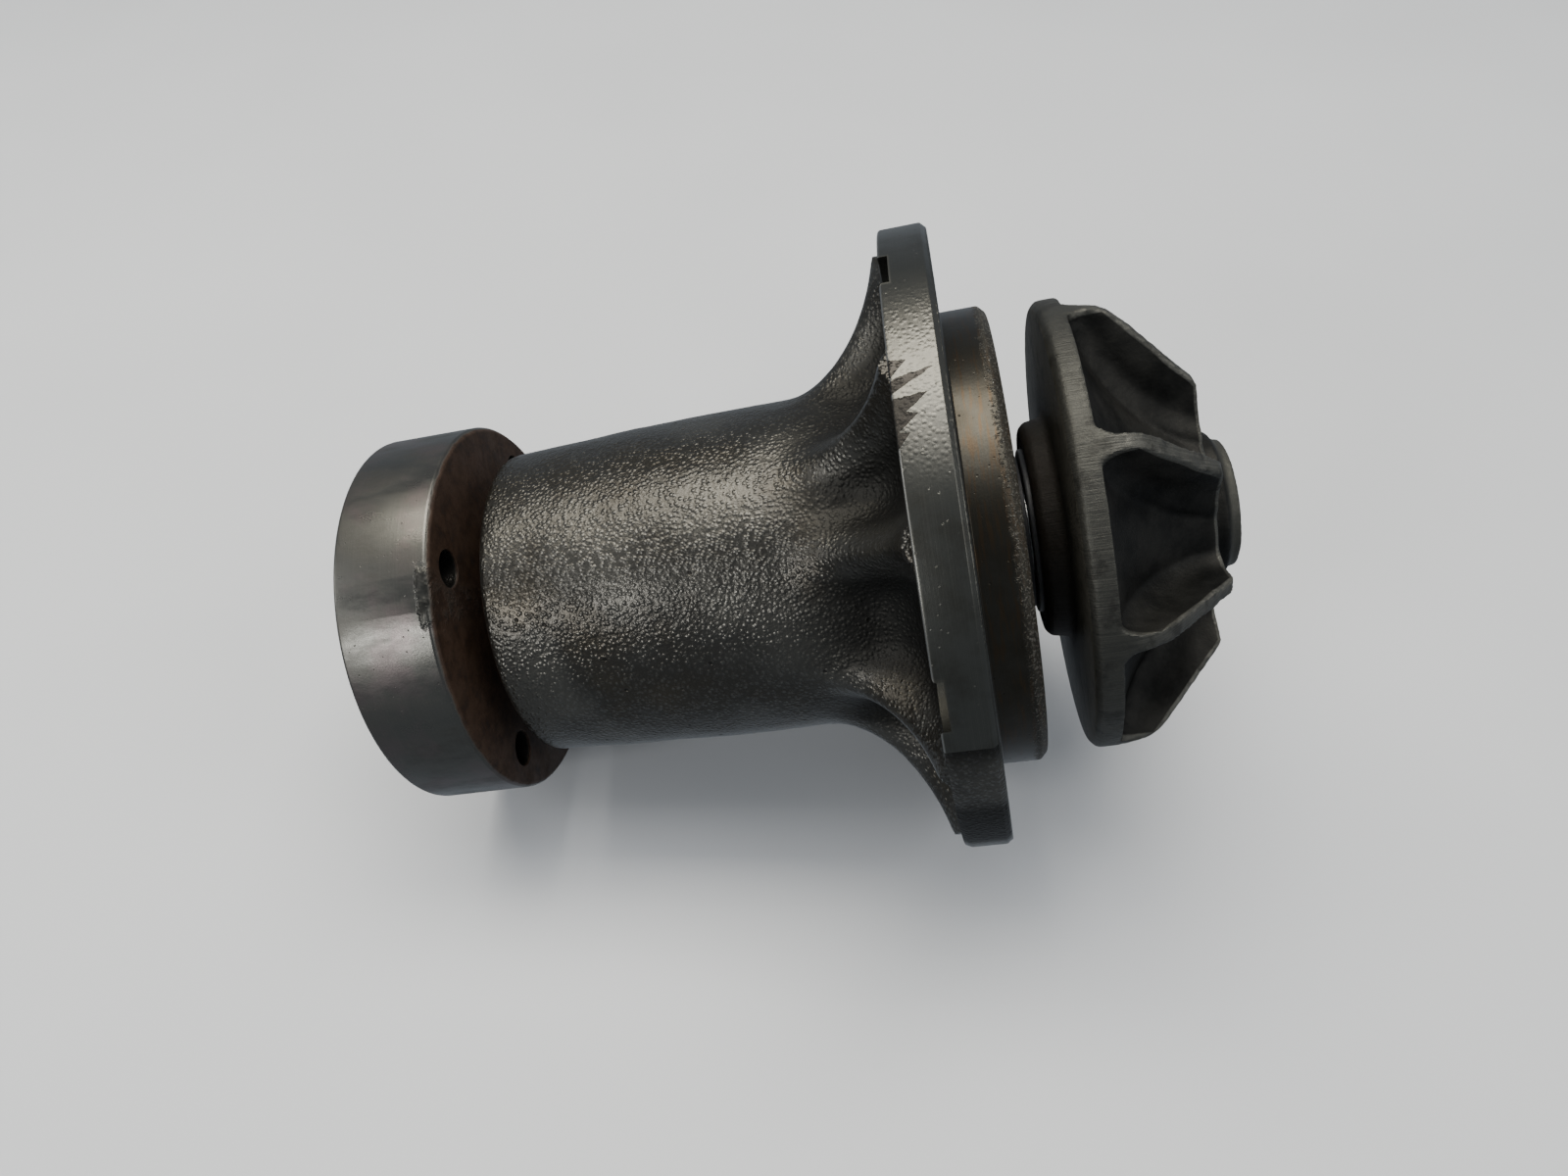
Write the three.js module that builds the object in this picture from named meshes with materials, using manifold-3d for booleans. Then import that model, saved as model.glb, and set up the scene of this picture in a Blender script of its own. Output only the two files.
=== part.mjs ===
// Engine coolant pump: a cast body with a fluted flange, an integral-shaft bearing,
// a face seal, a pulley hub and an eight-vane semi-open impeller.
// Millimetres, +Z up. The shaft runs along X and the impeller is at the +X end.
// The origin is on the shaft axis, in the plane of the flange's mounting face.
// Angles about the shaft are in degrees from +Z towards -Y.
import * as THREE from "three";
import { mergeVertices } from "three/addons/utils/BufferGeometryUtils.js";
import Module from "manifold-3d";

const wasm = await Module();
wasm.setup();

// Clearances
const FIT = 0.3; // between pieces pressed or set into one another
const RUN = 0.5; // between pieces that turn past one another
const ROLL = 0.25; // between a rolling element and its track
const BREAK = 0.6; // edge break on machined corners

// Pilot and the flange around it
const PILOT_RADIUS = 36.35;
const PILOT_LENGTH = 7;
const PILOT_CHAMFER = 1.1;
const FACE_WIDTH = 13.65; // mounting face, from the pilot to the rim
const FLANGE_THICKNESS = 7.2;
const FLANGE_CHAMFER = 0.9;
const RELIEF_DEPTH = 1.5; // of the rim's unmachined part
const RELIEF_HALF_ANGLE = 64;

// Flange bolts
const BOLT_COUNT = 5;
const BOLT_EDGE = 7.5; // from a bolt's centre to the rim
const BOLT_HOLE = 3.3;
const FIRST_BOLT = -6.5;
const SPOT_RADIUS = 8.2;
const SPOT_DEPTH = 1.4;

// Barrel and the ribs that join it to the flange
const BARREL_LENGTH = 66.5;
const BARREL_RADIUS = 27;
const BARREL_TAPER = 1.4;
const RIB_AFTER_BOLT = [18, 48];
const RIB_SPREAD = 7.5;
const RIB_REACH = 20.5;
const RIB_RISE = 31;
const RIB_EDGE = 3.6; // from the ribs' outer ends to the rim
const VALLEY_REACH = 9;
const VALLEY_RISE = 9;

// Shaft and bearing
const SHAFT_RADIUS = 8;
const SHAFT_INSET = 2; // behind the hub's front
const BALL_RADIUS = 3.5;
const BALL_COUNT = 8;
const GROOVE_DEPTH = 0.55; // of the ball's track in the shaft and in the race
const BALL_ROW = 11.5; // from the race's pump end
const ROLLER_COUNT = 9;
const ROLLER_LENGTH = 10;
const ROLLER_ROW = 12.5; // from the race's hub end
const RACE_WALL = 5.15;
const RACE_INSET = 1.8; // from the barrel's open end
const CAGE_THICKNESS = 2.6;
const CAGE_EDGE = 1.3; // cage beyond the rolling elements
const LIP_SEAL_WIDTH = 2.4;
const LIP_LENGTH = 3; // from the seal's flat ring in to the shaft

// Drain chamber and slinger
const CHAMBER_LENGTH = 8;
const CHAMBER_SHOULDER = 1.55; // behind the race
const WEEP_RADIUS = 2.5;
const SLINGER_WIDTH = 2.6;
const SLINGER_HUB = 1.4;
const SLINGER_GAP = 2; // to the chamber's wall

// Face seal, in the body and round the shaft
const SEAL_DEPTH = 11.6; // of its bore behind the mounting face
const SEAL_MOUTH_DEPTH = 2.7;
const SEAL_LIP = 3.5; // flange of its cup
const SEAL_SHEET = 0.9;
const CUP_GAP = 2.6; // cup's back wall to the shaft
const CARBON_GAP = 1.4; // to the shaft
const CARBON_WIDTH = 4.2;
const CARBON_LENGTH = 4.6;
const CARBON_NOSE = 1.2; // height of the rubbing nose
const BELLOWS_WALL = 0.9;
const BELLOWS_FOLDS = 2;
const BELLOWS_SWELL = 1.6;
const SPRING_WIRE = 0.6;
const SPRING_TURNS = 3.5;
const SPRING_GAP = 1.25; // on each side of the spring

// Seat ring and its rubber cup, in the impeller's back boss
const SEAT_GAP = 1; // to the shaft
const SEAT_WIDTH = 4.2;
const SEAT_THICKNESS = 4;
const SEAT_PROUD = 0.6; // beyond the boss
const SEAT_RUBBER = 1.2;

// Pulley hub
const HUB_RADIUS = 31.4;
const HUB_WIDTH = 15.6;
const HUB_GAP = 5; // hub to barrel
const HUB_CHAMFER = 1.3;
const HUB_RECESS = 1.2;
const HUB_BOSS_WIDTH = 6; // round the shaft
const HUB_BOSS_LENGTH = 2;
const HUB_HOLE = 3;
const HUB_HOLES = 4;
const HUB_HOLE_EDGE = 6.4; // from a hole's centre to the hub's edge
const FIRST_HUB_HOLE = 25.3;
const HUB_NOTCH_ANGLE = 34.5;
const HUB_NOTCH_DEPTH = 0.9;
const HUB_NOTCH_WIDTH = 2.6;

// Impeller
const IMPELLER_GAP = 2.7; // back boss to pilot
const IMPELLER_UNDERSIZE = 0.85; // so that it passes through the bore that takes the pilot
const BOSS_WALL = 2.3; // round the seat
const BOSS_HEIGHT = 4.1;
const DISC_THICKNESS = 3.8;
const VANE_COUNT = 8;
const VANE_THICKNESS = 2.9;
const VANE_OFFSET = 4.1; // of each straight vane from the shaft axis
const FIRST_VANE = -26;
const VANE_SHOULDER = 5.2; // straight length of the vane's rim edge
const VANE_HEIGHT = 17.7;
const VANE_TIP = 12; // length of the vane's top edge out from the nose
const NOSE_WALL = 1.7;
const NOSE_LENGTH = 4.5; // beyond the vanes
const HUB_SWELL = 4.6; // of the cone below the nose
const FLOOR_BEND = 0.68; // the passage floor falls steeply from the nose and flattens
const FLOOR_FLAT = 1.4; //  towards the rim

// Sides that a full circle is drawn with
const OUTSIDE_SIDES = 80;
const BARREL_SIDES = 120; // a multiple of the rib pattern, so that crests keep their tops
const IMPELLER_SIDES = 60;
const HIDDEN_SIDES = 28;
const HOLE_SIDES = 16;

// Radii that follow from the sizes above, from the shaft outwards
const shaftFit = SHAFT_RADIUS + FIT;
const rowPitch = SHAFT_RADIUS + BALL_RADIUS - GROOVE_DEPTH;
const raceInner = 2 * rowPitch - SHAFT_RADIUS;
const raceOuter = raceInner + RACE_WALL;
const rollerRadius = (raceInner - SHAFT_RADIUS) / 2 - ROLL;
const chamberRadius = raceOuter - CHAMBER_SHOULDER;
const carbonInner = SHAFT_RADIUS + CARBON_GAP;
const carbonOuter = carbonInner + CARBON_WIDTH;
const springRadius = carbonOuter + SPRING_GAP + SPRING_WIRE;
const cupInner = springRadius + SPRING_WIRE + SPRING_GAP;
const sealBore = cupInner + SEAL_SHEET + FIT;
const mouthRadius = sealBore + SEAL_LIP;
const seatInner = SHAFT_RADIUS + SEAT_GAP;
const seatOuter = seatInner + SEAT_WIDTH;
const seatCupOuter = seatOuter + FIT + SEAT_RUBBER;
const seatBore = seatCupOuter + FIT;
const bossRadius = seatBore + BOSS_WALL;
const noseRadius = shaftFit + NOSE_WALL;
const shoulderRadius = noseRadius + HUB_SWELL;
const vaneTopRadius = noseRadius + VANE_TIP;
const impellerRadius = PILOT_RADIUS - IMPELLER_UNDERSIZE;
const flangeRadius = PILOT_RADIUS + FACE_WIDTH;
const boltCircle = flangeRadius - BOLT_EDGE;
const ribTop = flangeRadius - RIB_EDGE;
const hubHoleCircle = HUB_RADIUS - HUB_HOLE_EDGE;
const hubBossRadius = SHAFT_RADIUS + HUB_BOSS_WIDTH;

// Stations along the shaft
const flangeBack = -FLANGE_THICKNESS;
const barrelEnd = flangeBack - BARREL_LENGTH;
const hubBack = barrelEnd - HUB_GAP;
const hubFront = hubBack - HUB_WIDTH;
const sealStart = -SEAL_DEPTH;
const chamberStart = sealStart - CHAMBER_LENGTH;
const raceStart = barrelEnd + RACE_INSET;
const raceEnd = chamberStart - FIT;
const rollerRow = raceStart + ROLLER_ROW;
const ballRow = raceEnd - BALL_ROW;
const mouthStart = PILOT_LENGTH - SEAL_MOUTH_DEPTH;
const impellerStart = PILOT_LENGTH + IMPELLER_GAP;
const discBack = impellerStart + BOSS_HEIGHT;
const discFront = discBack + DISC_THICKNESS;
const vaneTop = discFront + VANE_HEIGHT;
const noseEnd = vaneTop + NOSE_LENGTH;
const cupBack = sealStart + FIT;
const seatFace = impellerStart - SEAT_PROUD;
const seatBack = seatFace + SEAT_THICKNESS;
const seatCupBack = seatBack + FIT + SEAT_RUBBER;
const carbonFace = seatFace - FIT;
const carbonBack = carbonFace - CARBON_LENGTH;

const rad = THREE.MathUtils.degToRad;

// A geometry as a solid that booleans can work on.
function solid(geometry) {
  const bare = geometry.index ? geometry.toNonIndexed() : geometry.clone();
  bare.deleteAttribute("normal");
  bare.deleteAttribute("uv");
  const merged = mergeVertices(bare, 1e-4);
  return new wasm.Manifold(
    new wasm.Mesh({
      numProp: 3,
      vertProperties: merged.attributes.position.array,
      triVerts: new Uint32Array(merged.index.array),
    }),
  );
}

// A solid as a geometry that a mesh can hold.
function geometryOf(made) {
  const mesh = made.getMesh();
  const geometry = new THREE.BufferGeometry();
  geometry.setAttribute("position", new THREE.BufferAttribute(mesh.vertProperties, 3));
  geometry.setIndex(new THREE.BufferAttribute(mesh.triVerts, 1));
  geometry.computeVertexNormals();
  return geometry;
}

// Turns a profile of [x, radius] points about the shaft axis. A profile that doesn't
// start and end on the axis is closed on itself.
function turned(profile, segments = HIDDEN_SIDES) {
  const onAxis = profile[0][1] === 0 && profile[profile.length - 1][1] === 0;
  const points = profile.map(([x, r]) => new THREE.Vector2(r, x));
  if (THREE.ShapeUtils.area(points) < 0) {
    points.reverse();
  }
  if (!onAxis) {
    points.push(points[0].clone());
  }
  return new THREE.LatheGeometry(points, segments).rotateZ(-Math.PI / 2);
}

// A plain ring between two stations, with every corner broken.
function ring(start, end, inner, outer, edge = 0, segments = HIDDEN_SIDES) {
  if (edge === 0) {
    return turned([[start, inner], [start, outer], [end, outer], [end, inner]], segments);
  }
  const profile = [
    [start, inner + edge],
    [start, outer - edge],
    [start + edge, outer],
    [end - edge, outer],
    [end, outer - edge],
    [end, inner + edge],
    [end - edge, inner],
    [start + edge, inner],
  ];
  return turned(profile, segments);
}

// A round bar along X between two stations.
function bar(start, end, radius, segments = HOLE_SIDES) {
  const geometry = new THREE.CylinderGeometry(radius, radius, end - start, segments);
  return geometry.rotateZ(-Math.PI / 2).translate((start + end) / 2, 0, 0);
}

// Moves a geometry out from the axis, then round it by an angle in degrees.
function around(geometry, radius, angle) {
  return geometry.translate(0, 0, radius).rotateX(rad(angle));
}

// Evenly spaced angles, in degrees.
function angles(count, first = 0) {
  return Array.from({ length: count }, (_, i) => first + (360 / count) * i);
}

// How far a quarter-ellipse flare has risen at x, ending at the flange's back face.
function flare(x, reach, rise) {
  const u = (x - flangeBack + reach) / reach;
  return u <= 0 ? 0 : rise * (1 - Math.sqrt(Math.max(0, 1 - u * u)));
}

// Radius of the cast barrel before the flare starts.
function barrelRadius(x) {
  const along = Math.max(0, flangeBack - RIB_REACH - x) / (BARREL_LENGTH - RIB_REACH);
  return BARREL_RADIUS - BARREL_TAPER * along * along;
}

// How much of a rib there is at an angle: 1 on a crest, near 0 in a flute.
function ribShare(angle) {
  let share = 0;
  for (const bolt of angles(BOLT_COUNT, FIRST_BOLT)) {
    for (const after of RIB_AFTER_BOLT) {
      const away = ((((angle - bolt - after) % 360) + 540) % 360) - 180;
      share = Math.max(share, Math.exp(-((away / RIB_SPREAD) ** 2)));
    }
  }
  return share;
}

// The barrel with its ribs: a turned blank whose flare is pressed in between the crests.
function barrelCasting() {
  const count = 7;
  const profile = [[flangeBack + 1, 0], [flangeBack + 1, ribTop]];
  for (let i = 0; i <= count; i++) {
    profile.push([flangeBack - RIB_REACH * (i / count) ** 1.6, ribTop]);
  }
  profile.push([(flangeBack - RIB_REACH + barrelEnd) / 2, ribTop]);
  profile.push([barrelEnd + BREAK, ribTop]);
  profile.push([barrelEnd, ribTop]);
  profile.push([barrelEnd, 0]);
  const geometry = turned(profile, BARREL_SIDES).rotateX(rad(FIRST_BOLT));
  const position = geometry.attributes.position;
  const point = new THREE.Vector3();
  for (let i = 0; i < position.count; i++) {
    point.fromBufferAttribute(position, i);
    const radius = Math.hypot(point.y, point.z);
    if (radius < 1) {
      continue;
    }
    const x = Math.min(point.x, flangeBack);
    const share = ribShare(THREE.MathUtils.radToDeg(Math.atan2(-point.y, point.z)));
    const valley = flare(x, VALLEY_REACH, VALLEY_RISE);
    const crest = flare(x, RIB_REACH, RIB_RISE);
    const broken = point.x < barrelEnd + BREAK / 2 ? BREAK : 0;
    const wanted = Math.min(
      ribTop,
      barrelRadius(x) - broken + valley + Math.max(0, crest - valley) * share,
    );
    position.setXYZ(i, point.x, (point.y * wanted) / radius, (point.z * wanted) / radius);
  }
  return geometry;
}

// The unmachined sector of the rim, as the metal to take away.
function rimRelief() {
  const shape = new THREE.Shape();
  const half = rad(RELIEF_HALF_ANGLE);
  shape.absarc(0, 0, flangeRadius + 4, -half, half, false);
  shape.absarc(0, 0, flangeRadius - RELIEF_DEPTH, half, -half, true);
  shape.closePath();
  const geometry = new THREE.ExtrudeGeometry(shape, {
    depth: FLANGE_THICKNESS + 2,
    bevelEnabled: false,
    curveSegments: 30,
  });
  geometry.rotateY(-Math.PI / 2);
  geometry.translate(1, 0, 0);
  const middle = FIRST_BOLT + (360 / BOLT_COUNT) * 2;
  return geometry.rotateX(rad(middle));
}

function pumpBody() {
  const plate = turned([
    [flangeBack, 0],
    [flangeBack, flangeRadius - FLANGE_CHAMFER / 2],
    [flangeBack + FLANGE_CHAMFER / 2, flangeRadius],
    [-FLANGE_CHAMFER, flangeRadius],
    [0, flangeRadius - FLANGE_CHAMFER],
    [0, PILOT_RADIUS],
    [PILOT_LENGTH - PILOT_CHAMFER, PILOT_RADIUS],
    [PILOT_LENGTH, PILOT_RADIUS - PILOT_CHAMFER],
    [PILOT_LENGTH, 0],
  ], OUTSIDE_SIDES);
  let body = solid(plate).subtract(solid(rimRelief())).add(solid(barrelCasting()));
  for (const angle of angles(BOLT_COUNT, FIRST_BOLT)) {
    const hole = around(bar(flangeBack - 2, 2, BOLT_HOLE), boltCircle, angle);
    const spot = around(
      bar(flangeBack - 14, flangeBack + SPOT_DEPTH, SPOT_RADIUS, 2 * HOLE_SIDES),
      boltCircle,
      angle,
    );
    body = body.subtract(solid(hole)).subtract(solid(spot));
  }
  const bores = turned([
    [barrelEnd - 1, 0],
    [barrelEnd - 1, raceOuter + 1 + BREAK],
    [barrelEnd + BREAK, raceOuter],
    [chamberStart, raceOuter],
    [chamberStart, chamberRadius],
    [sealStart, chamberRadius],
    [sealStart, sealBore],
    [mouthStart, sealBore],
    [mouthStart, mouthRadius],
    [PILOT_LENGTH + 1, mouthRadius],
    [PILOT_LENGTH + 1, 0],
  ], 60);
  const middle = (RIB_AFTER_BOLT[0] + RIB_AFTER_BOLT[1]) / 2;
  const weepAngle = FIRST_BOLT + (360 / BOLT_COUNT) * 2 + middle;
  const weep = new THREE.CylinderGeometry(WEEP_RADIUS, WEEP_RADIUS, BARREL_RADIUS, HOLE_SIDES);
  weep.rotateX(Math.PI / 2);
  const weepStart = chamberRadius - 2;
  weep.translate(chamberStart + CHAMBER_LENGTH / 2, 0, weepStart + BARREL_RADIUS / 2);
  weep.rotateX(rad(weepAngle));
  return body.subtract(solid(bores)).subtract(solid(weep));
}

function driveHub() {
  const blank = turned([
    [hubFront + HUB_RECESS, 0],
    [hubFront + HUB_RECESS, hubBossRadius],
    [hubFront, hubBossRadius + HUB_RECESS],
    [hubFront, HUB_RADIUS - BREAK],
    [hubFront + BREAK, HUB_RADIUS],
    [hubBack - HUB_CHAMFER, HUB_RADIUS],
    [hubBack, HUB_RADIUS - HUB_CHAMFER],
    [hubBack, hubBossRadius],
    [hubBack + HUB_BOSS_LENGTH, hubBossRadius - 1],
    [hubBack + HUB_BOSS_LENGTH, 0],
  ], OUTSIDE_SIDES);
  const bore = bar(hubFront - 1, hubBack + HUB_BOSS_LENGTH + 1, shaftFit, HIDDEN_SIDES);
  let hub = solid(blank).subtract(solid(bore));
  for (const angle of angles(HUB_HOLES, FIRST_HUB_HOLE)) {
    const hole = bar(hubFront - 1, hubBack + 1, HUB_HOLE);
    hub = hub.subtract(solid(around(hole, hubHoleCircle, angle)));
  }
  const notch = new THREE.BoxGeometry(HUB_NOTCH_WIDTH * 2, 30, 6);
  notch.translate(hubBack, 0, 3);
  around(notch, HUB_RADIUS - HUB_NOTCH_DEPTH, HUB_NOTCH_ANGLE);
  return hub.subtract(solid(notch));
}

// Points of a groove cut by a ball, from one side of it to the other.
function ballGroove(radius, edge, side) {
  const half = Math.acos((edge - rowPitch) / (side * radius));
  const points = [];
  const count = 5;
  for (let i = 0; i <= count; i++) {
    const a = -half + (2 * half * i) / count;
    points.push([ballRow + radius * Math.sin(a), rowPitch + side * radius * Math.cos(a)]);
  }
  return points;
}

function shaft() {
  const start = hubFront + SHAFT_INSET;
  const end = noseEnd - 1;
  return turned([
    [start, 0],
    [start, SHAFT_RADIUS - BREAK],
    [start + BREAK, SHAFT_RADIUS],
    ...ballGroove(BALL_RADIUS + ROLL, SHAFT_RADIUS, -1),
    [end - BREAK, SHAFT_RADIUS],
    [end, SHAFT_RADIUS - BREAK],
    [end, 0],
  ]);
}

function outerRace() {
  const outer = raceOuter - FIT;
  return turned([
    [raceStart, raceInner],
    [raceStart, outer - BREAK],
    [raceStart + BREAK, outer],
    [raceEnd - BREAK, outer],
    [raceEnd, outer - BREAK],
    [raceEnd, raceInner],
    ...ballGroove(BALL_RADIUS + ROLL, raceInner, 1).reverse(),
  ]);
}

// A crown: a ring beside the balls, with fingers that reach in between them.
function ballCage() {
  const back = ballRow - BALL_RADIUS - CAGE_EDGE;
  const inner = rowPitch - CAGE_THICKNESS / 2;
  const outer = rowPitch + CAGE_THICKNESS / 2;
  let cage = solid(ring(back, ballRow, inner, outer));
  for (const angle of angles(BALL_COUNT)) {
    const room = BALL_RADIUS + FIT;
    const pocket = new THREE.CylinderGeometry(room, room, 3 * CAGE_THICKNESS, HOLE_SIDES);
    pocket.rotateX(Math.PI / 2).translate(ballRow, 0, 0);
    cage = cage.subtract(solid(around(pocket, rowPitch, angle)));
  }
  return cage;
}

function rollerCage() {
  const half = ROLLER_LENGTH / 2 + FIT + CAGE_EDGE;
  let cage = solid(ring(
    rollerRow - half,
    rollerRow + half,
    rowPitch - CAGE_THICKNESS / 2,
    rowPitch + CAGE_THICKNESS / 2,
  ));
  for (const angle of angles(ROLLER_COUNT)) {
    const width = 2 * (rollerRadius + FIT);
    const pocket = new THREE.BoxGeometry(ROLLER_LENGTH + 2 * FIT, width, 3 * CAGE_THICKNESS);
    pocket.translate(rollerRow, 0, 0);
    cage = cage.subtract(solid(around(pocket, rowPitch, angle)));
  }
  return cage;
}

// Lip seal closing one end of the bearing: a flat ring with a lip that leans outwards.
function lipSeal(end, inwards) {
  const x = (distance) => end + inwards * distance;
  const rim = raceInner - FIT;
  const ringInner = SHAFT_RADIUS + LIP_LENGTH;
  return turned([
    [x(0.4), rim],
    [x(0.4), ringInner],
    [x(0.1), SHAFT_RADIUS + RUN],
    [x(0.9), SHAFT_RADIUS + RUN],
    [x(1.4), ringInner],
    [x(LIP_SEAL_WIDTH), ringInner + 0.6],
    [x(LIP_SEAL_WIDTH), rim],
  ]);
}

// Rubber disc on the shaft, in the middle of the drain chamber, with a dished skirt.
function slinger() {
  const x = chamberStart + (CHAMBER_LENGTH - SLINGER_WIDTH) / 2;
  const neck = shaftFit + SLINGER_HUB;
  const rim = chamberRadius - SLINGER_GAP;
  return turned([
    [x, shaftFit],
    [x, neck + 1.2],
    [x + 1.2, rim],
    [x + 2.2, rim],
    [x + 1, neck + 0.7],
    [x + SLINGER_WIDTH, neck],
    [x + SLINGER_WIDTH, shaftFit],
  ]);
}

function sealCup() {
  const outer = sealBore - FIT;
  const lip = mouthRadius - FIT;
  const front = mouthStart + FIT;
  const hole = SHAFT_RADIUS + CUP_GAP;
  return turned([
    [cupBack, hole],
    [cupBack, outer - 1],
    [cupBack + 1, outer],
    [front, outer],
    [front, lip],
    [front + SEAL_SHEET, lip],
    [front + SEAL_SHEET, cupInner],
    [cupBack + 1, cupInner],
    [cupBack + SEAL_SHEET, cupInner - 1],
    [cupBack + SEAL_SHEET, hole],
  ]);
}

// Rubber bellows between the cup's back wall and the carbon ring.
function sealBellows() {
  const start = cupBack + SEAL_SHEET + FIT;
  const end = carbonBack - FIT;
  const bends = 2 * BELLOWS_FOLDS;
  const pitch = (end - start - 2 * BELLOWS_WALL) / bends;
  const outerSide = [[start, carbonOuter], [start + BELLOWS_WALL, carbonOuter]];
  const innerSide = [[start, carbonInner], [start + BELLOWS_WALL / 2, carbonInner]];
  for (let i = 0; i <= bends; i++) {
    const x = start + BELLOWS_WALL + pitch * i;
    const swell = i % 2 === 0 ? 0 : BELLOWS_SWELL;
    outerSide.push([x, carbonInner + BELLOWS_WALL + swell + 0.2]);
    innerSide.push([x, carbonInner + swell]);
  }
  outerSide.push([end - BELLOWS_WALL, carbonOuter], [end, carbonOuter]);
  innerSide.push([end - BELLOWS_WALL / 2, carbonInner], [end, carbonInner]);
  return turned([...outerSide, ...innerSide.reverse()]);
}

class Helix extends THREE.Curve {
  constructor(start, end, radius, turns) {
    super();
    Object.assign(this, { start, end, radius, turns });
  }
  getPoint(t, target = new THREE.Vector3()) {
    const a = 2 * Math.PI * this.turns * t;
    const x = THREE.MathUtils.lerp(this.start, this.end, t);
    return target.set(x, this.radius * Math.sin(a), this.radius * Math.cos(a));
  }
}

function sealSpring() {
  const start = cupBack + SEAL_SHEET + FIT + SPRING_WIRE;
  const end = carbonBack - FIT - SPRING_WIRE;
  const wire = new THREE.Shape();
  wire.absarc(0, 0, SPRING_WIRE, 0, 2 * Math.PI, false);
  return new THREE.ExtrudeGeometry(wire, {
    steps: 48,
    curveSegments: 3,
    extrudePath: new Helix(start, end, springRadius, SPRING_TURNS),
  });
}

function carbonRing() {
  const shoulder = carbonFace - CARBON_NOSE;
  return turned([
    [carbonBack, carbonInner],
    [carbonBack, carbonOuter],
    [shoulder - 0.4, carbonOuter],
    [shoulder, carbonOuter - 1.4],
    [carbonFace, carbonOuter - 1.4],
    [carbonFace, carbonInner + 0.6],
    [shoulder, carbonInner],
  ]);
}

function seatCup() {
  const wall = seatCupOuter - SEAT_RUBBER;
  const lip = seatFace + 0.8;
  return turned([
    [lip, wall],
    [lip, seatCupOuter],
    [seatCupBack, seatCupOuter],
    [seatCupBack, seatInner],
    [seatBack + FIT, seatInner],
    [seatBack + FIT, wall],
  ]);
}

function vane() {
  const root = 3; // how far each vane's foot is sunk into the metal below it
  const shape = new THREE.Shape([
    new THREE.Vector2(discFront - root, impellerRadius),
    new THREE.Vector2(discFront + VANE_SHOULDER, impellerRadius),
    new THREE.Vector2(vaneTop, vaneTopRadius),
    new THREE.Vector2(vaneTop + 1, noseRadius + 2),
    new THREE.Vector2(vaneTop - 2, noseRadius),
    new THREE.Vector2(discFront - root, noseRadius + 6),
  ]);
  const geometry = new THREE.ExtrudeGeometry(shape, {
    depth: VANE_THICKNESS,
    bevelEnabled: false,
  });
  geometry.translate(0, 0, -VANE_THICKNESS / 2);
  geometry.rotateX(Math.PI / 2);
  return geometry.translate(0, -VANE_OFFSET, 0);
}

// Points of the passage floor, from the disc's rim to the cone below the nose.
function passageFloor(rim) {
  const height = VANE_HEIGHT - 0.7;
  return [0.09, 0.24, 0.45, 0.7, 1].map((along) => {
    const fall = (1 - along ** FLOOR_BEND) ** FLOOR_FLAT;
    return [discFront + height * along, shoulderRadius + (rim - shoulderRadius) * fall];
  });
}

function impeller() {
  const edge = 0.5;
  const blank = turned([
    [impellerStart, 0],
    [impellerStart, bossRadius - 1],
    [impellerStart + 1, bossRadius],
    [discBack - 0.8, bossRadius],
    [discBack, bossRadius + 0.8],
    [discBack, impellerRadius - 1],
    [discBack + 1, impellerRadius],
    [discFront - edge, impellerRadius],
    [discFront, impellerRadius - edge],
    ...passageFloor(impellerRadius - edge),
    [vaneTop + 1.5, noseRadius + 3],
    [vaneTop + 2.7, noseRadius + 0.6],
    [noseEnd - 0.8, noseRadius],
    [noseEnd, noseRadius - 0.8],
    [noseEnd, 0],
  ], IMPELLER_SIDES);
  let wheel = solid(blank);
  for (const angle of angles(VANE_COUNT, FIRST_VANE)) {
    wheel = wheel.add(solid(vane().rotateX(rad(angle))));
  }
  const within = turned([
    [impellerStart - 1, 0],
    [impellerStart - 1, impellerRadius],
    [discFront + VANE_SHOULDER, impellerRadius],
    [vaneTop, vaneTopRadius],
    [noseEnd + 1, vaneTopRadius],
    [noseEnd + 1, 0],
  ], IMPELLER_SIDES);
  const seat = bar(impellerStart - 1, seatCupBack + FIT, seatBore, HIDDEN_SIDES);
  const bore = bar(impellerStart - 1, noseEnd + 1, shaftFit, HIDDEN_SIDES);
  return wheel.intersect(solid(within)).subtract(solid(seat)).subtract(solid(bore));
}

const FINISHES = {
  castIron: { color: 0x2e2d2b, roughness: 0.75, metalness: 0.7 },
  machinedSteel: { color: 0x77736d, roughness: 0.4, metalness: 0.9 },
  groundSteel: { color: 0x9b9a98, roughness: 0.2, metalness: 1 },
  impellerIron: { color: 0x353433, roughness: 0.7, metalness: 0.6 },
  cageResin: { color: 0xc9b27c, roughness: 0.6, metalness: 0 },
  rubber: { color: 0x17171a, roughness: 0.8, metalness: 0 },
  pressedBrass: { color: 0xb58a3c, roughness: 0.35, metalness: 0.9 },
  springSteel: { color: 0xa7a9ab, roughness: 0.3, metalness: 1 },
  carbon: { color: 0x1f2022, roughness: 0.45, metalness: 0.1 },
  ceramic: { color: 0x3b3c3f, roughness: 0.25, metalness: 0 },
};

const pump = new THREE.Group();
pump.name = "coolant_pump";

// Adds one named piece to the pump.
function piece(name, finish, made) {
  const geometry = made.isBufferGeometry ? made : geometryOf(made);
  const mesh = new THREE.Mesh(geometry, new THREE.MeshStandardMaterial(FINISHES[finish]));
  mesh.name = name;
  pump.add(mesh);
}

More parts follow.
